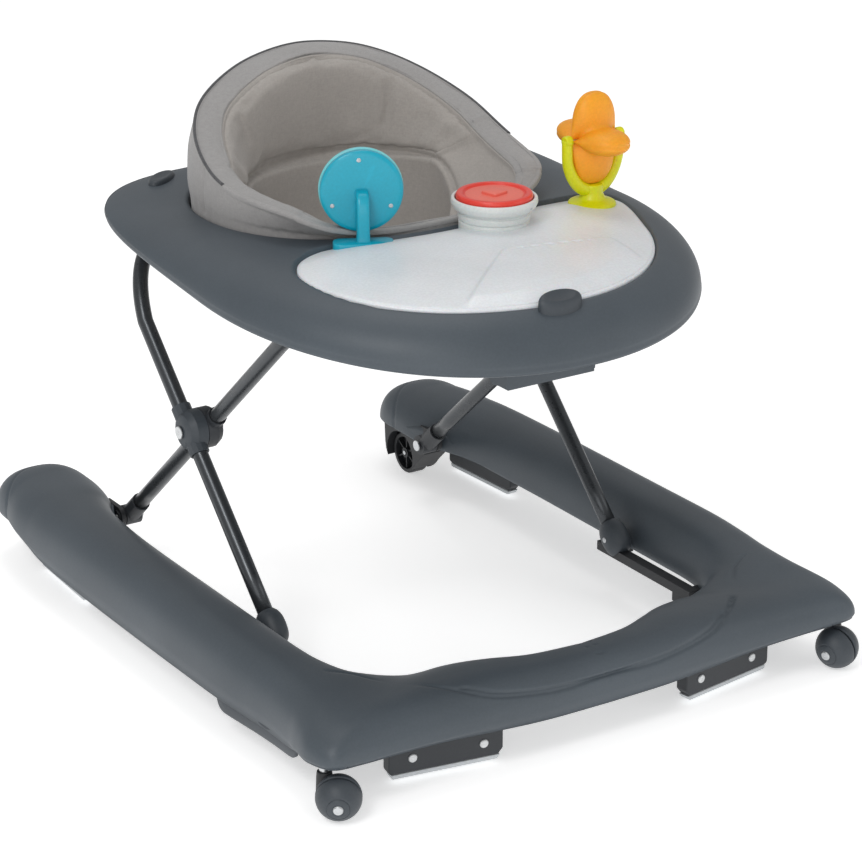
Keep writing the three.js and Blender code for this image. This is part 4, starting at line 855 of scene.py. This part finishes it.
def shade_band(piece, count, edge_at):
    """The band is cut from a slightly lighter cloth than the bowl."""
    piece.data.materials.append(CLOTH_BAND)
    last = int(edge_at * (count - 1))
    for polygon in piece.data.polygons:
        row = polygon.index // SEAT_COUNT
        if row < last:
            polygon.material_index = 1


def cut_leg_holes(piece):
    """Removes the cloth inside each leg hole and draws the edge out to a true circle."""
    x, y, radius = LEG_HOLES
    mesh = bmesh.new()
    mesh.from_mesh(piece.data)
    for side in (1, -1):
        centre = np.array([side * x, y + SHIFT_Y]) / 1000

        def inside(p, r):
            return p.z < 0.345 and math.hypot(p.x - centre[0], (p.y - centre[1]) / 0.86) < r / 1000

        gone = [f for f in mesh.faces if inside(f.calc_center_median(), radius)]
        bmesh.ops.delete(mesh, geom=gone, context="FACES")
        for v in mesh.verts:
            if v.is_boundary and inside(v.co, radius + 6):
                dx, dy = v.co.x - centre[0], (v.co.y - centre[1]) / 0.86
                grow = radius / 1000 / max(math.hypot(dx, dy), 1e-6)
                v.co.x, v.co.y = centre[0] + dx * grow, centre[1] + dy * grow * 0.86
    mesh.to_mesh(piece.data)
    mesh.free()


def seat_collar(angle, rim):
    """The collar's outer wall, from the edge of the ring's opening up to the rim."""
    from_y = 120.0
    toward = np.stack([np.cos(angle), np.sin(angle), np.zeros(SEAT_COUNT)], 1)
    out = reach(opening_measure, angle, from_y) - 1.4
    ring_edge = np.column_stack([out * np.cos(angle), from_y + out * np.sin(angle), np.full(SEAT_COUNT, 402.0)])
    foot = ring_edge + (0, 0, 29) - toward * 1.5
    tall = smooth01((rim[:, 2:] - 445) / 90)
    levels = [ring_edge, foot]
    for t in (0.3, 0.6, 0.85):
        levels.append(foot + (rim - foot) * t + toward * 7 * tall * math.sin(math.pi * t))
    levels += [rim + toward * 0.5 - (0, 0, 3), rim + toward * 0.2, rim - toward * 3]
    levels = np.array(levels)
    rows = np.array([spline(levels[:, i], 90) for i in range(SEAT_COUNT)]).transpose(1, 0, 2)
    share = np.linspace(0, 1, 90)[:, None]
    lift = smooth01((rim[:, 2] - 445) / 60)
    pucker = np.sin(angle * 61 + 3 * np.sin(angle * 4)) * (0.5 + 0.5 * np.sin(angle * 11))
    push = 0.9 * pucker * np.exp(-(((share - 0.2) / 0.09) ** 2))
    push = push + soft_noise(rows.reshape(-1, 3), 70, 9).reshape(share.size, -1) * 1.2 * lift
    for heading in (171, 215, 9, -35, 90):
        away = (angle - math.radians(heading) + math.pi) % (2 * math.pi) - math.pi
        push = push - 1.4 * np.exp(-((away * 165 / 1.1) ** 2)) * (share > 0.15)
    rows = rows + toward * push[..., None]
    piece = skin("seat_collar_wall", rows, CLOTH_BAND)
    sheet = piece.modifiers.new("thickness", "SOLIDIFY")
    sheet.thickness, sheet.offset = 0.002, 0
    settle(piece, "tray", "seat_fabric")


def pillow(start, end, rows, first, last, thick):
    """A closed pad that lies on part of the bowl's wall: its face bulges, its edges are pinched."""
    columns = range(start, end)
    v = np.linspace(first, last, 44)
    index = v * (len(rows) - 1)
    lower = index.astype(int)
    mix = (index - lower)[:, None, None]
    patch = rows[lower][:, columns] * (1 - mix) + rows[np.minimum(lower + 1, len(rows) - 1)][:, columns] * mix
    normals = row_normals(rows)[lower][:, columns]
    centre = np.array([0, 130, 470])
    normals = normals * np.sign((normals * (centre - patch)).sum(2, keepdims=True))
    a = np.linspace(0, 1, patch.shape[0])[:, None]
    b = np.linspace(0, 1, patch.shape[1])[None, :]
    plump = (1 - np.abs(2 * a - 1) ** 3.2) ** 0.6 * (1 - np.abs(2 * b - 1) ** 8) ** 0.5
    face = patch + normals * (0.8 + thick * plump[..., None])
    back = patch - normals * 2.5
    return np.concatenate([face, back[::-1]])


def back_pad(rows):
    """The padded back, blown up by a short cloth simulation so that its edges pucker."""
    quarter = SEAT_COUNT // 4
    loop = pillow(int(quarter * 0.06), int(quarter * 1.94), rows, 0.385, 0.562, 5.0)
    piece = skin("seat_back_pad", loop, CLOTH, wrap_rows=True, wrap_cols=False)
    work = bmesh.new()
    work.from_mesh(piece.data)
    edges = [e for e in work.edges if e.is_boundary]
    bmesh.ops.holes_fill(work, edges=edges)
    bmesh.ops.recalc_face_normals(work, faces=work.faces)
    work.to_mesh(piece.data)
    work.free()
    inflate(piece, 0.0045, 2.5, 0.002)
    settle(piece, "tray", "seat_fabric")


def inflate(piece, voxel, pressure, most):
    """Remeshes a closed pad, lets cloth pressure fill it, and keeps each point's move under a limit."""
    scene = bpy.context.scene
    mesh = piece.modifiers.new("even", "REMESH")
    mesh.mode, mesh.voxel_size, mesh.use_smooth_shade = "VOXEL", voxel, True
    graph = bpy.context.evaluated_depsgraph_get()
    even = bpy.data.meshes.new_from_object(piece.evaluated_get(graph))
    piece.modifiers.clear()
    material = piece.data.materials[0]
    piece.data = even
    even.materials.clear()
    even.materials.append(material)
    start = np.array([v.co[:] for v in even.vertices])
    cloth = piece.modifiers.new("cloth", "CLOTH")
    setting = cloth.settings
    setting.use_pressure, setting.uniform_pressure_force = True, pressure
    setting.effector_weights.gravity = 0
    setting.quality, setting.mass = 5, 0.3
    setting.tension_stiffness = setting.compression_stiffness = 12
    setting.bending_stiffness = 0.3
    scene.frame_start, scene.frame_end = 1, 20
    for number in range(1, 21):
        scene.frame_set(number)
    graph = bpy.context.evaluated_depsgraph_get()
    blown = piece.evaluated_get(graph).data
    end = np.array([v.co[:] for v in blown.vertices])
    move = end - start
    length = np.linalg.norm(move, axis=1, keepdims=True)
    move *= np.minimum(1, most / np.maximum(length, 1e-9))
    piece.modifiers.clear()
    scene.frame_set(1)
    even.vertices.foreach_set("co", (start + move).reshape(-1))
    even.polygons.foreach_set("use_smooth", [True] * len(even.polygons))
    finer = piece.modifiers.new("finer", "SUBSURF")
    finer.levels = finer.render_levels = 1


def seat():
    angle, rim, rows = seat_bowl()
    seat_collar(angle, rim)
    back = np.arange(-3, SEAT_COUNT // 2 + 4) % SEAT_COUNT
    path = rim[back] + (0, 0, 0.8)
    settle(rope("seat_rim_piping", path, 1.7, PIPING), "tray", "seat_fabric_dark")
    x, y, radius = LEG_HOLES
    for side, word in SIDES:
        around = np.linspace(0, 2 * math.pi, 120, endpoint=False)
        loop = np.column_stack([side * x + radius * np.cos(around), y + 0.86 * radius * np.sin(around),
                                np.zeros(120)])
        loop[:, 2] = bowl_height(rows, loop)
        settle(rope("leg_hole_binding_" + word, loop, 3.2, PIPING, closed=True), "tray", "seat_fabric_dark")
    back_pad(rows)


def bowl_height(rows, loop):
    """Height of the bowl's lower part above each point of a loop."""
    low = rows[150:].reshape(-1, 3)
    low = low[low[:, 2] < 360]
    return np.array([low[np.argmin(np.hypot(*(low[:, :2] - p[:2]).T)), 2] for p in loop]) - 1.5


# ---------------------------------------------------------------- scissor tubes
HUB_Y, HUB_Z = 121, 220
ALPHA, BETA = math.radians(41.5), math.radians(45.2)
PIVOT_LOW, PIVOT_HIGH, TUBE_R = 64, 380, 8
LEG_A_X, LEG_B_X, LEG_B_TOP_X, BEND_A = 186, 206, 118, 46
SLIDER_Y = HUB_Y - (HUB_Z - PIVOT_LOW) / math.tan(BETA)
HINGE_Y = HUB_Y + (HUB_Z - PIVOT_LOW) / math.tan(ALPHA)
RACK_Y = HUB_Y - (PIVOT_HIGH - HUB_Z) / math.tan(ALPHA)
SADDLE_Y = HUB_Y + (PIVOT_HIGH - HUB_Z) / math.tan(BETA)


def bent(start, before, corner, after, steps=26):
    start, before, corner, after = (np.array(p, float) for p in (start, before, corner, after))
    t = np.linspace(0, 1, steps)[:, None]
    bend = (1 - t) ** 2 * before + 2 * t * (1 - t) * corner + t * t * after
    straight = [start + (before - start) * k for k in np.linspace(0, 1, 8)[:-1]]
    right = np.vstack([straight, bend])
    return np.vstack([right, right[::-1] * (-1, 1, 1)])


def tubes():
    lead = 13
    start = (LEG_A_X, HINGE_Y - lead * math.cos(ALPHA), PIVOT_LOW + lead * math.sin(ALPHA))
    before = (LEG_A_X, RACK_Y + BEND_A * math.cos(ALPHA), PIVOT_HIGH - BEND_A * math.sin(ALPHA))
    path = bent(start, before, (LEG_A_X, RACK_Y, PIVOT_HIGH), (LEG_A_X - BEND_A, RACK_Y, PIVOT_HIGH))
    piece = skin("scissor_tube_a", sweep_rows(path, TUBE_R, 36), TUBE, caps=True)
    settle(piece, "legs_a", "frame_tube", "leg_frame_a")
    start = (LEG_B_X, SLIDER_Y + 9 * math.cos(BETA), PIVOT_LOW + 9 * math.sin(BETA))
    before = (LEG_B_X, HUB_Y + 125 * math.cos(BETA), HUB_Z + 125 * math.sin(BETA))
    corner = (LEG_B_X - 10, SADDLE_Y - 14, PIVOT_HIGH + 4)
    path = bent(start, before, corner, (LEG_B_TOP_X, SADDLE_Y, PIVOT_HIGH), 40)
    piece = skin("scissor_tube_b", sweep_rows(path, TUBE_R, 36), TUBE, caps=True)
    settle(piece, "legs_b", "frame_tube", "leg_frame_b")


# ---------------------------------------------------------------- casters
CASTER_R, CASTER_TRAIL, STEM_X, STEM_Y = 21.5, 18.4, 296, -280
CASTER_TILT = math.radians(8)


def caster(side, word, swivel):
    swivel = math.radians(swivel)
    run = CASTER_TRAIL * math.sqrt(0.5)
    axle = at(run, -run, CASTER_R, Matrix.Rotation(math.pi / 2 + CASTER_TILT, 3, "X"))
    place = at(side * STEM_X, STEM_Y, 0, Matrix.Rotation(swivel + math.pi / 4, 3, "Z"))
    on_axle = place @ axle
    ball = lambda a, b, n, r=CASTER_R: [(r * math.cos(t), r * math.sin(t)) for t in np.linspace(a, b, n)]
    dome = [(3.1, 1.4), (14, 1.4), (CASTER_R - 2, 1.2), *ball(0.09, 1.02, 22),
            *ball(1.04, 1.06, 2, CASTER_R - 0.7), *ball(1.08, 1.27, 8),
            (5.6, CASTER_R - 1.2), (3.1, CASTER_R - 1.4)]
    piece = turned("caster_dome_" + word, dome, SLATE_DEEP, on_axle, 72, caps=False)
    settle(piece, "caster_wheel_" + word, "slate_plastic", "caster_wheel_" + word)
    shell = [(0.3, -8), (9, -8), (CASTER_R - 4, -3.5), (CASTER_R - 4, -1.4), (CASTER_R - 1, -1.2),
             *ball(-0.08, -1.5, 26), (0.3, -CASTER_R)]
    piece = turned("caster_shroud_" + word, shell, SLATE_DEEP, on_axle, 72)
    settle(piece, "caster_" + word, "slate_plastic", "caster_hood_" + word)
    neck = rounded([(0.3, 20), (8.2, 20), (7.6, 36), (7.0, 42), (0.3, 42)], 1.5)
    settle(turned("caster_neck_" + word, neck, BLACK, place, 40), "caster_" + word, "black_plastic")
    r = CASTER_R
    boss = rounded([(0.3, r - 3), (4.7, r - 3), (4.7, r - 0.3), (0.3, r + 0.7)], 0.7)
    settle(turned("caster_axle_cap_" + word, boss, RIVET, on_axle, 32), "caster_" + word, "bright_steel")


# ---------------------------------------------------------------- toys
MIRROR_AT, BUTTON_AT, SPINNER_AT = (-91, -22), (47, -40), (170, -31)
MIRROR_Z, MIRROR_R, BUTTON_Z, BUTTON_R, SPIN_Z = 480, 40, 466, 42, 499
TOY_FOOT_Z = RING_TOP + 0.6


def rounded_box_rows(half_x, half_y, z0, z1, corner, edge=1.5, n=12):
    """Rows of a soft-cornered slab in plan, from its foot to its top."""
    a = np.linspace(0, 2 * math.pi, 4 * n, endpoint=False) + math.pi / (4 * n)
    plan = np.stack([np.cos(a), np.sin(a)], 1)
    corners = np.sign(plan) * (half_x - corner, half_y - corner)
    rows = []
    for shrink, z in ((edge, z0), (0.3 * edge, z0 + 0.3 * edge), (0, z0 + edge), (0, z1 - edge),
                      (0.3 * edge, z1 - 0.3 * edge), (edge, z1)):
        xy = corners + plan * (corner - shrink)
        rows.append(np.column_stack([xy, np.full(len(a), z)]))
    return np.array(rows)


def mirror_toy():
    place = at(*MIRROR_AT, 0, Matrix.Rotation(math.radians(-27), 3, "Z"))
    foot = rounded_box_rows(29, 11.5, 424, TOY_FOOT_Z + 4.5, 8, 1.4)
    piece = skin("mirror_foot", moved(foot, place), CYAN, caps=True)
    settle(piece, "toy_tray", "cyan_plastic", "toy_mirror_stand")
    bend = np.linspace(0.1, math.pi / 2, 12)
    path = np.vstack([[(0, 0, z) for z in np.linspace(432, 462, 8)],
                      [(0, 9 * (1 - math.cos(t)), 462 + 14 * math.sin(t)) for t in bend],
                      [(0, 12 + k, 476.5) for k in (0, 3)]])
    rows = []
    for i, p in enumerate(path):
        t = np.gradient(path, axis=0)[i]
        t /= np.linalg.norm(t)
        up = np.array([0, -t[2], t[1]])
        a = np.linspace(0, 2 * math.pi, 40, endpoint=False)
        flare = 1 + 0.25 * math.exp(-(p[2] - 432) / 4)
        xs, ys = (signed_power(f(a), 0.45) * 6.2 * flare for f in (np.cos, np.sin))
        rows.append(p + xs[:, None] * (1, 0, 0) + ys[:, None] * up)
    piece = skin("mirror_stem", moved(rows, place), CYAN, caps=True)
    settle(piece, "toy_tray", "cyan_plastic")
    facing = Matrix.Rotation(-math.pi / 2, 3, "X")
    disc = place @ at(0, 0, MIRROR_Z, facing)
    r = MIRROR_R
    back = rounded([(0.2, 12.4), (r - 9, 12), (r - 3, 12.2), (r, 13.8), (r, 19.6), (r - 3, 20), (0.2, 20)], 2.5, 6)
    settle(turned("mirror_back", back, CYAN, disc, 96), "toy_tray", "cyan_plastic")
    rim = rounded([(r - 6, 20.2), (r + 0.6, 20.2), (r + 1, 25), (r - 1.5, 27), (r - 3.6, 26.6),
                   (r - 4.2, 24.2), (r - 6, 24)], 1.6, 5)
    settle(turned("mirror_rim", rim, AQUA, disc, 96, caps=False), "toy_tray", "cyan_plastic", "toy_mirror_rim")
    glass = rounded([(0.2, 20.4), (r - 4.4, 20.4), (r - 4.4, 25.4), (r - 6, 26), (0.2, 26)], 0.5)
    settle(turned("mirror_film_disc", glass, MIRROR, disc, 96), "toy_tray", "mirror_film", "toy_mirror_glass")
    for i, a in enumerate((math.radians(95), math.radians(-28), math.radians(205))):
        screw_head("mirror_screw_%d" % i, disc @ at(r * 0.78 * math.cos(a), -r * 0.78 * math.sin(a), 12.3,
                                                    Matrix.Rotation(math.pi, 3, "X")), 2.2, "toy_tray")


def screw_head(name, place, r, body):
    """A pan-head screw with a cross recess."""
    a = np.linspace(0, 2 * math.pi, 48, endpoint=False)
    rows = []
    for share, z in ((1.0, -0.6), (1.0, 0.25), (0.92, 0.6), (0.7, 0.85), (0.45, 0.95), (0.2, 0.98), (0.02, 0.98)):
        slot = np.maximum(np.abs(np.cos(2 * a)) ** 6 * (share < 0.75), 0) * (share > 0.1)
        slot = np.maximum(slot, float(share < 0.25))
        flat = share * r
        rows.append(np.column_stack([flat * np.cos(a), flat * np.sin(a), (z - 0.5 * slot) * r / 2.4]))
    piece = skin(name, moved(rows, place), STEEL, caps=True)
    return settle(piece, body, "bright_steel")


def button_toy():
    place = at(*BUTTON_AT, 0)
    r, z = BUTTON_R, BUTTON_Z
    drum = rounded([(0.3, 424), (34.4, 424), (35, 438), (34, 439), (34, 440), (35.4, 441), (35.8, 446),
                    (34.8, 447), (34.8, 448), (36.4, 448.6), (r - 1.6, 452), (r + 0.6, 457), (r - 0.2, z - 4.5),
                    (r - 3.4, z - 4.2), (r - 4.0, z - 16), (0.3, z - 16)], 1.4, 5)
    settle(turned("button_drum_body", drum, WHITE_TOY, place, 96), "toy_tray", "white_plastic", "button_drum")
    cap = rounded([(0.3, z - 8.4), (r - 4.6, z - 8.4), (r - 4.4, z - 3), (r - 5.4, z - 0.6), (r - 8, z),
                   (r - 11, z - 0.4), (r - 12.2, z - 2.2), (r - 13.5, z - 2.6), (0.3, z - 2.6)], 0.9, 5)
    settle(turned("button_cap_ring", cap, RED, place, 96), "button", "red_plastic", "button_cap")
    panel = rounded([(0.3, z - 2.7), (r - 13.2, z - 2.7), (r - 13.8, z - 2.0), (0.3, z - 1.4)], 0.5)
    settle(turned("button_panel", panel, RED_PALE, place, 72), "button", "red_plastic")
    tile = rounded_box_rows(9.5, 9.5, z - 2.4, z + 1.0, 2.4, 0.8, 8)
    tile = moved(tile, place @ Matrix.Rotation(math.radians(14), 4, "Z"))
    tile = skin("button_tile", tile, RED_PALE, caps=True)
    settle(tile, "button", "red_plastic")
    heading = math.radians(24)
    facing = turn_to((math.sin(heading), -math.cos(heading), 0.1))
    out = r - 0.6
    spot = (BUTTON_AT[0] + out * math.sin(heading), BUTTON_AT[1] - out * math.cos(heading), 457)
    screw_head("button_screw", at(*spot, facing), 2.6, "toy_tray")


def spinner_toy():
    x, y = SPINNER_AT
    foot = rounded([(0.3, 424), (23.5, 424), (24, TOY_FOOT_Z + 2.4), (21, 434.6), (13.5, 437), (10.5, 443),
                    (10.5, 452), (0.3, 453)], 2.2, 6)
    settle(turned("spinner_foot", foot, YELLOW, at(x, y, 0), 72), "toy_tray", "yellow_plastic", "spinner_fork")
    half = 31
    arc = [(-half, SPIN_Z + 1), (-half, SPIN_Z - 10), (-half + 1.2, SPIN_Z - 24), (-half + 7, SPIN_Z - 38),
           (-14, SPIN_Z - 49), (0, SPIN_Z - 53.5)]
    right = [(-u, w) for u, w in arc[-2::-1]]
    path = spline([(x + u, y, w) for u, w in [*arc, *right]], 90)
    rows = sweep_rows(path, 5.4 + 1.6 * np.sin(np.linspace(0, math.pi, 90)) ** 4, 28, up=(1, 0, 0))
    settle(skin("spinner_fork_arc", rows, YELLOW, caps=True), "toy_tray", "yellow_plastic")
    for side in (-1, 1):
        eye = rounded([(0.3, -4), (5.2, -4), (5.8, -2), (5.8, 2), (5.2, 4), (0.3, 4)], 1)
        place = at(x + side * half, y, SPIN_Z, Matrix.Rotation(math.pi / 2, 3, "Y"))
        settle(turned("spinner_eye_%s" % ("right" if side > 0 else "left"), eye, YELLOW, place, 40),
               "toy_tray", "yellow_plastic")
    settle(star(x, y), "spinner", "orange_soft", "spinner_star")


def star(x, y):
    """Four soft, wide lobes about the spin axis, each creased along its middle."""
    turns, across = 240, 80
    phi = np.linspace(0, 2 * math.pi, turns, endpoint=False)
    lobes = 0.5 + 0.5 * np.cos(4 * phi)
    crease = 1.6 * np.exp(-((np.sin(2 * phi) / 0.08) ** 2))
    rows = []
    for v in np.linspace(-math.pi / 2, math.pi / 2, across):
        fade = np.abs(math.cos(v)) ** 0.9
        r = (20 + 27 * lobes**1.25 - crease * math.cos(v)) * fade
        h = 26.2 * signed_power(math.sin(v), 0.8) * (0.72 + 0.28 * lobes)
        rows.append(np.column_stack([x + h, y + r * np.sin(phi), SPIN_Z + r * np.cos(phi)]))
    return skin("spinner_star_soft", rows, ORANGE, caps=True)


# ---------------------------------------------------------------- everything
def hard_parts():
    """CAD nodes that stay, with softened edges and finished materials."""
    for _, w in SIDES:
        for node, material, width in (
            ("slide_rail_", BLACK, 0.8), ("stop_block_front_", CHARCOAL, 1.6), ("stop_block_rear_", CHARCOAL, 1.6),
            ("stop_rubber_front_", GREY_RUBBER, 0.8), ("stop_rubber_rear_", GREY_RUBBER, 0.8),
            ("wheel_housing_", BLACK, 1.2), ("rear_wheel_", BLACK, 0.5), ("rear_axle_", STEEL, 0.3),
            ("hinge_pin_", STEEL, 0.4), ("caster_stem_", STEEL, 0.3), ("leg_foot_", CHARCOAL, 0.8),
            ("hub_inner_", CHARCOAL, 1.2), ("hub_outer_", SLATE_DEEP, 1.5), ("hub_pin_", RIVET, 0.5),
            ("slider_eye_", BLACK, 0.5), ("slider_pin_", STEEL, 0.4),
            ("tube_saddle_", BLACK, 1.0), ("caster_axle_", STEEL, 0.3),
        ):
            soften(node + w, material, width)
    soften("height_rack", SLATE, 1.2)
    soften("latch_lever", CHARCOAL, 0.8)
    soften("latch_pin", STEEL, 0.3)
    soften("spinner_pin", STEEL, 0.2)


def slider_shoe(side, word):
    """A rounded cap round the foot of the tube, with three grip ribs on its outer side."""
    profile = spline([(0.3, -19.5), (6, -19), (11.5, -16.5), (15.2, -11), (16.6, -2), (16.2, 7), (13.8, 13.5),
                      (10.8, 17), (9.4, 17.6), (0.3, 17.6)], 60)
    rows = turned_rows(profile, 144)
    angle = np.linspace(0, 2 * math.pi, 144, endpoint=False)
    ribs = sum(np.exp(-(((angle - a) / 0.11) ** 2)) for a in (0.45, 0.95, 1.45, 2 * math.pi - 0.05))
    tall = np.clip(1 - (profile[:, 1] / 13) ** 4, 0, 1)
    rows[..., :2] *= (1 + 0.075 * tall[:, None] * ribs[None])[..., None]
    rows[..., 0] *= 0.84 * side
    place = at(side * LEG_B_X, SLIDER_Y, PIVOT_LOW, Matrix.Rotation(BETA - math.pi / 2, 3, "X"))
    piece = skin("slider_shoe_cap_" + word, moved(rows, place), SLATE_DEEP, caps=True)
    settle(piece, "sliders", "slate_plastic", "slider_shoe_" + word)
    for end in (-1, 1):
        spot = at(side * LEG_B_X + end * 13.6, SLIDER_Y, PIVOT_LOW, turn_to((end, 0, 0)))
        screw_head("slider_screw_%s_%s" % (word, "a" if end < 0 else "b"), spot, 2.8, "sliders")


def pin_screws():
    """Each pivot pin shows a small screw head at both ends instead of its plain end."""
    for _, word in SIDES:
        for pin, body, r in (("hub_pin_", "legs_b", 3.6), ("hinge_pin_", "base", 3.2)):
            box = np.array([NODES[pin + word].matrix_world @ Vector(c) for c in NODES[pin + word].bound_box])
            low, high = box.min(0) * 1000, box.max(0) * 1000
            y, z = (low[1] + high[1]) / 2 - SHIFT_Y, (low[2] + high[2]) / 2
            for end, side in ((low[0], -1), (high[0], 1)):
                place = at(end - side * 1.2, y, z, turn_to((side, 0, 0)))
                screw_head("%s%s_%s" % (pin, word, "in" if side * end < 0 else "out"), place, r, body)


def stop_rivets():
    for side, word in SIDES:
        heading = math.radians(9)
        for i, u in enumerate((-38, 34)):
            x = 163 + u * math.cos(heading) + 7 * math.sin(heading)
            y = -272 + u * math.sin(heading) - 7 * math.cos(heading)
            turn = turn_to((side * math.sin(heading), -math.cos(heading), 0))
            profile = rounded([(0.2, -1), (4.4, -1), (4.4, 0.8), (3.4, 1.6), (0.2, 1.8)], 0.7)
            place = at(side * x, y, 24, turn)
            settle(turned("stop_rivet_%s_%d" % (word, i), profile, RIVET, place, 32), "base", "bright_steel")


def room():
    """Pale floor, pale surroundings, soft studio lights and the camera."""
    scene = bpy.context.scene
    scene.view_settings.view_transform = "Standard"
    floor = make("studio_floor", [(-9000, -9000, 0), (9000, -9000, 0), (9000, 9000, 0), (-9000, 9000, 0)],
                 [[0, 1, 2, 3]], Shade("studio_floor", 0.9).material, smooth=False)
    shader = floor.active_material.node_tree.nodes["Principled BSDF"]
    shader.inputs["Base Color"].default_value = (0.9, 0.9, 0.9, 1)
    shader.inputs["Emission Color"].default_value = (1, 1, 1, 1)
    shader.inputs["Emission Strength"].default_value = 0.5
    world = bpy.data.worlds.new("studio")
    world.use_nodes = True
    back = world.node_tree.nodes["Background"]
    back.inputs["Color"].default_value = (1, 1, 1, 1)
    back.inputs["Strength"].default_value = 0.48
    scene.world = world
    target = Vector((0, -0.06, 0.25))
    for name, spot, size, power in (("key", (-2.6, -1.6, 3.2), 1.3, 42), ("fill", (2.6, -2.6, 1.6), 1.8, 9),
                                    ("top", (0.3, 0.8, 3.4), 1.5, 17), ("front", (-2.1, -3.0, 1.3), 2.4, 20)):
        data = bpy.data.lights.new(name, "AREA")
        data.size, data.energy = size, power
        lamp = bpy.data.objects.new(name, data)
        lamp.location = spot
        lamp.rotation_euler = (target - Vector(spot)).to_track_quat("-Z", "Y").to_euler()
        scene.collection.objects.link(lamp)
    azimuth, elevation, distance = math.radians(-33.01), math.radians(21.19), 3.110
    back = Vector((math.sin(azimuth) * math.cos(elevation), -math.cos(azimuth) * math.cos(elevation),
                   math.sin(elevation)))
    data = bpy.data.cameras.new("camera")
    data.lens, data.sensor_width = 130.4, 36
    camera = bpy.data.objects.new("camera", data)
    camera.location = Vector((0, SHIFT_Y / 1000, 0.215)) + back * distance
    camera.rotation_euler = (-back).to_track_quat("-Z", "Y").to_euler()
    scene.collection.objects.link(camera)
    scene.camera = camera


room()
base_shell()
ring()
toy_tray()
seat()
tubes()
hard_parts()
pin_screws()
slider_shoe(1, "right")
slider_shoe(-1, "left")
stop_rivets()
caster(1, "right", -118)
caster(-1, "left", -78)
mirror_toy()
button_toy()
spinner_toy()
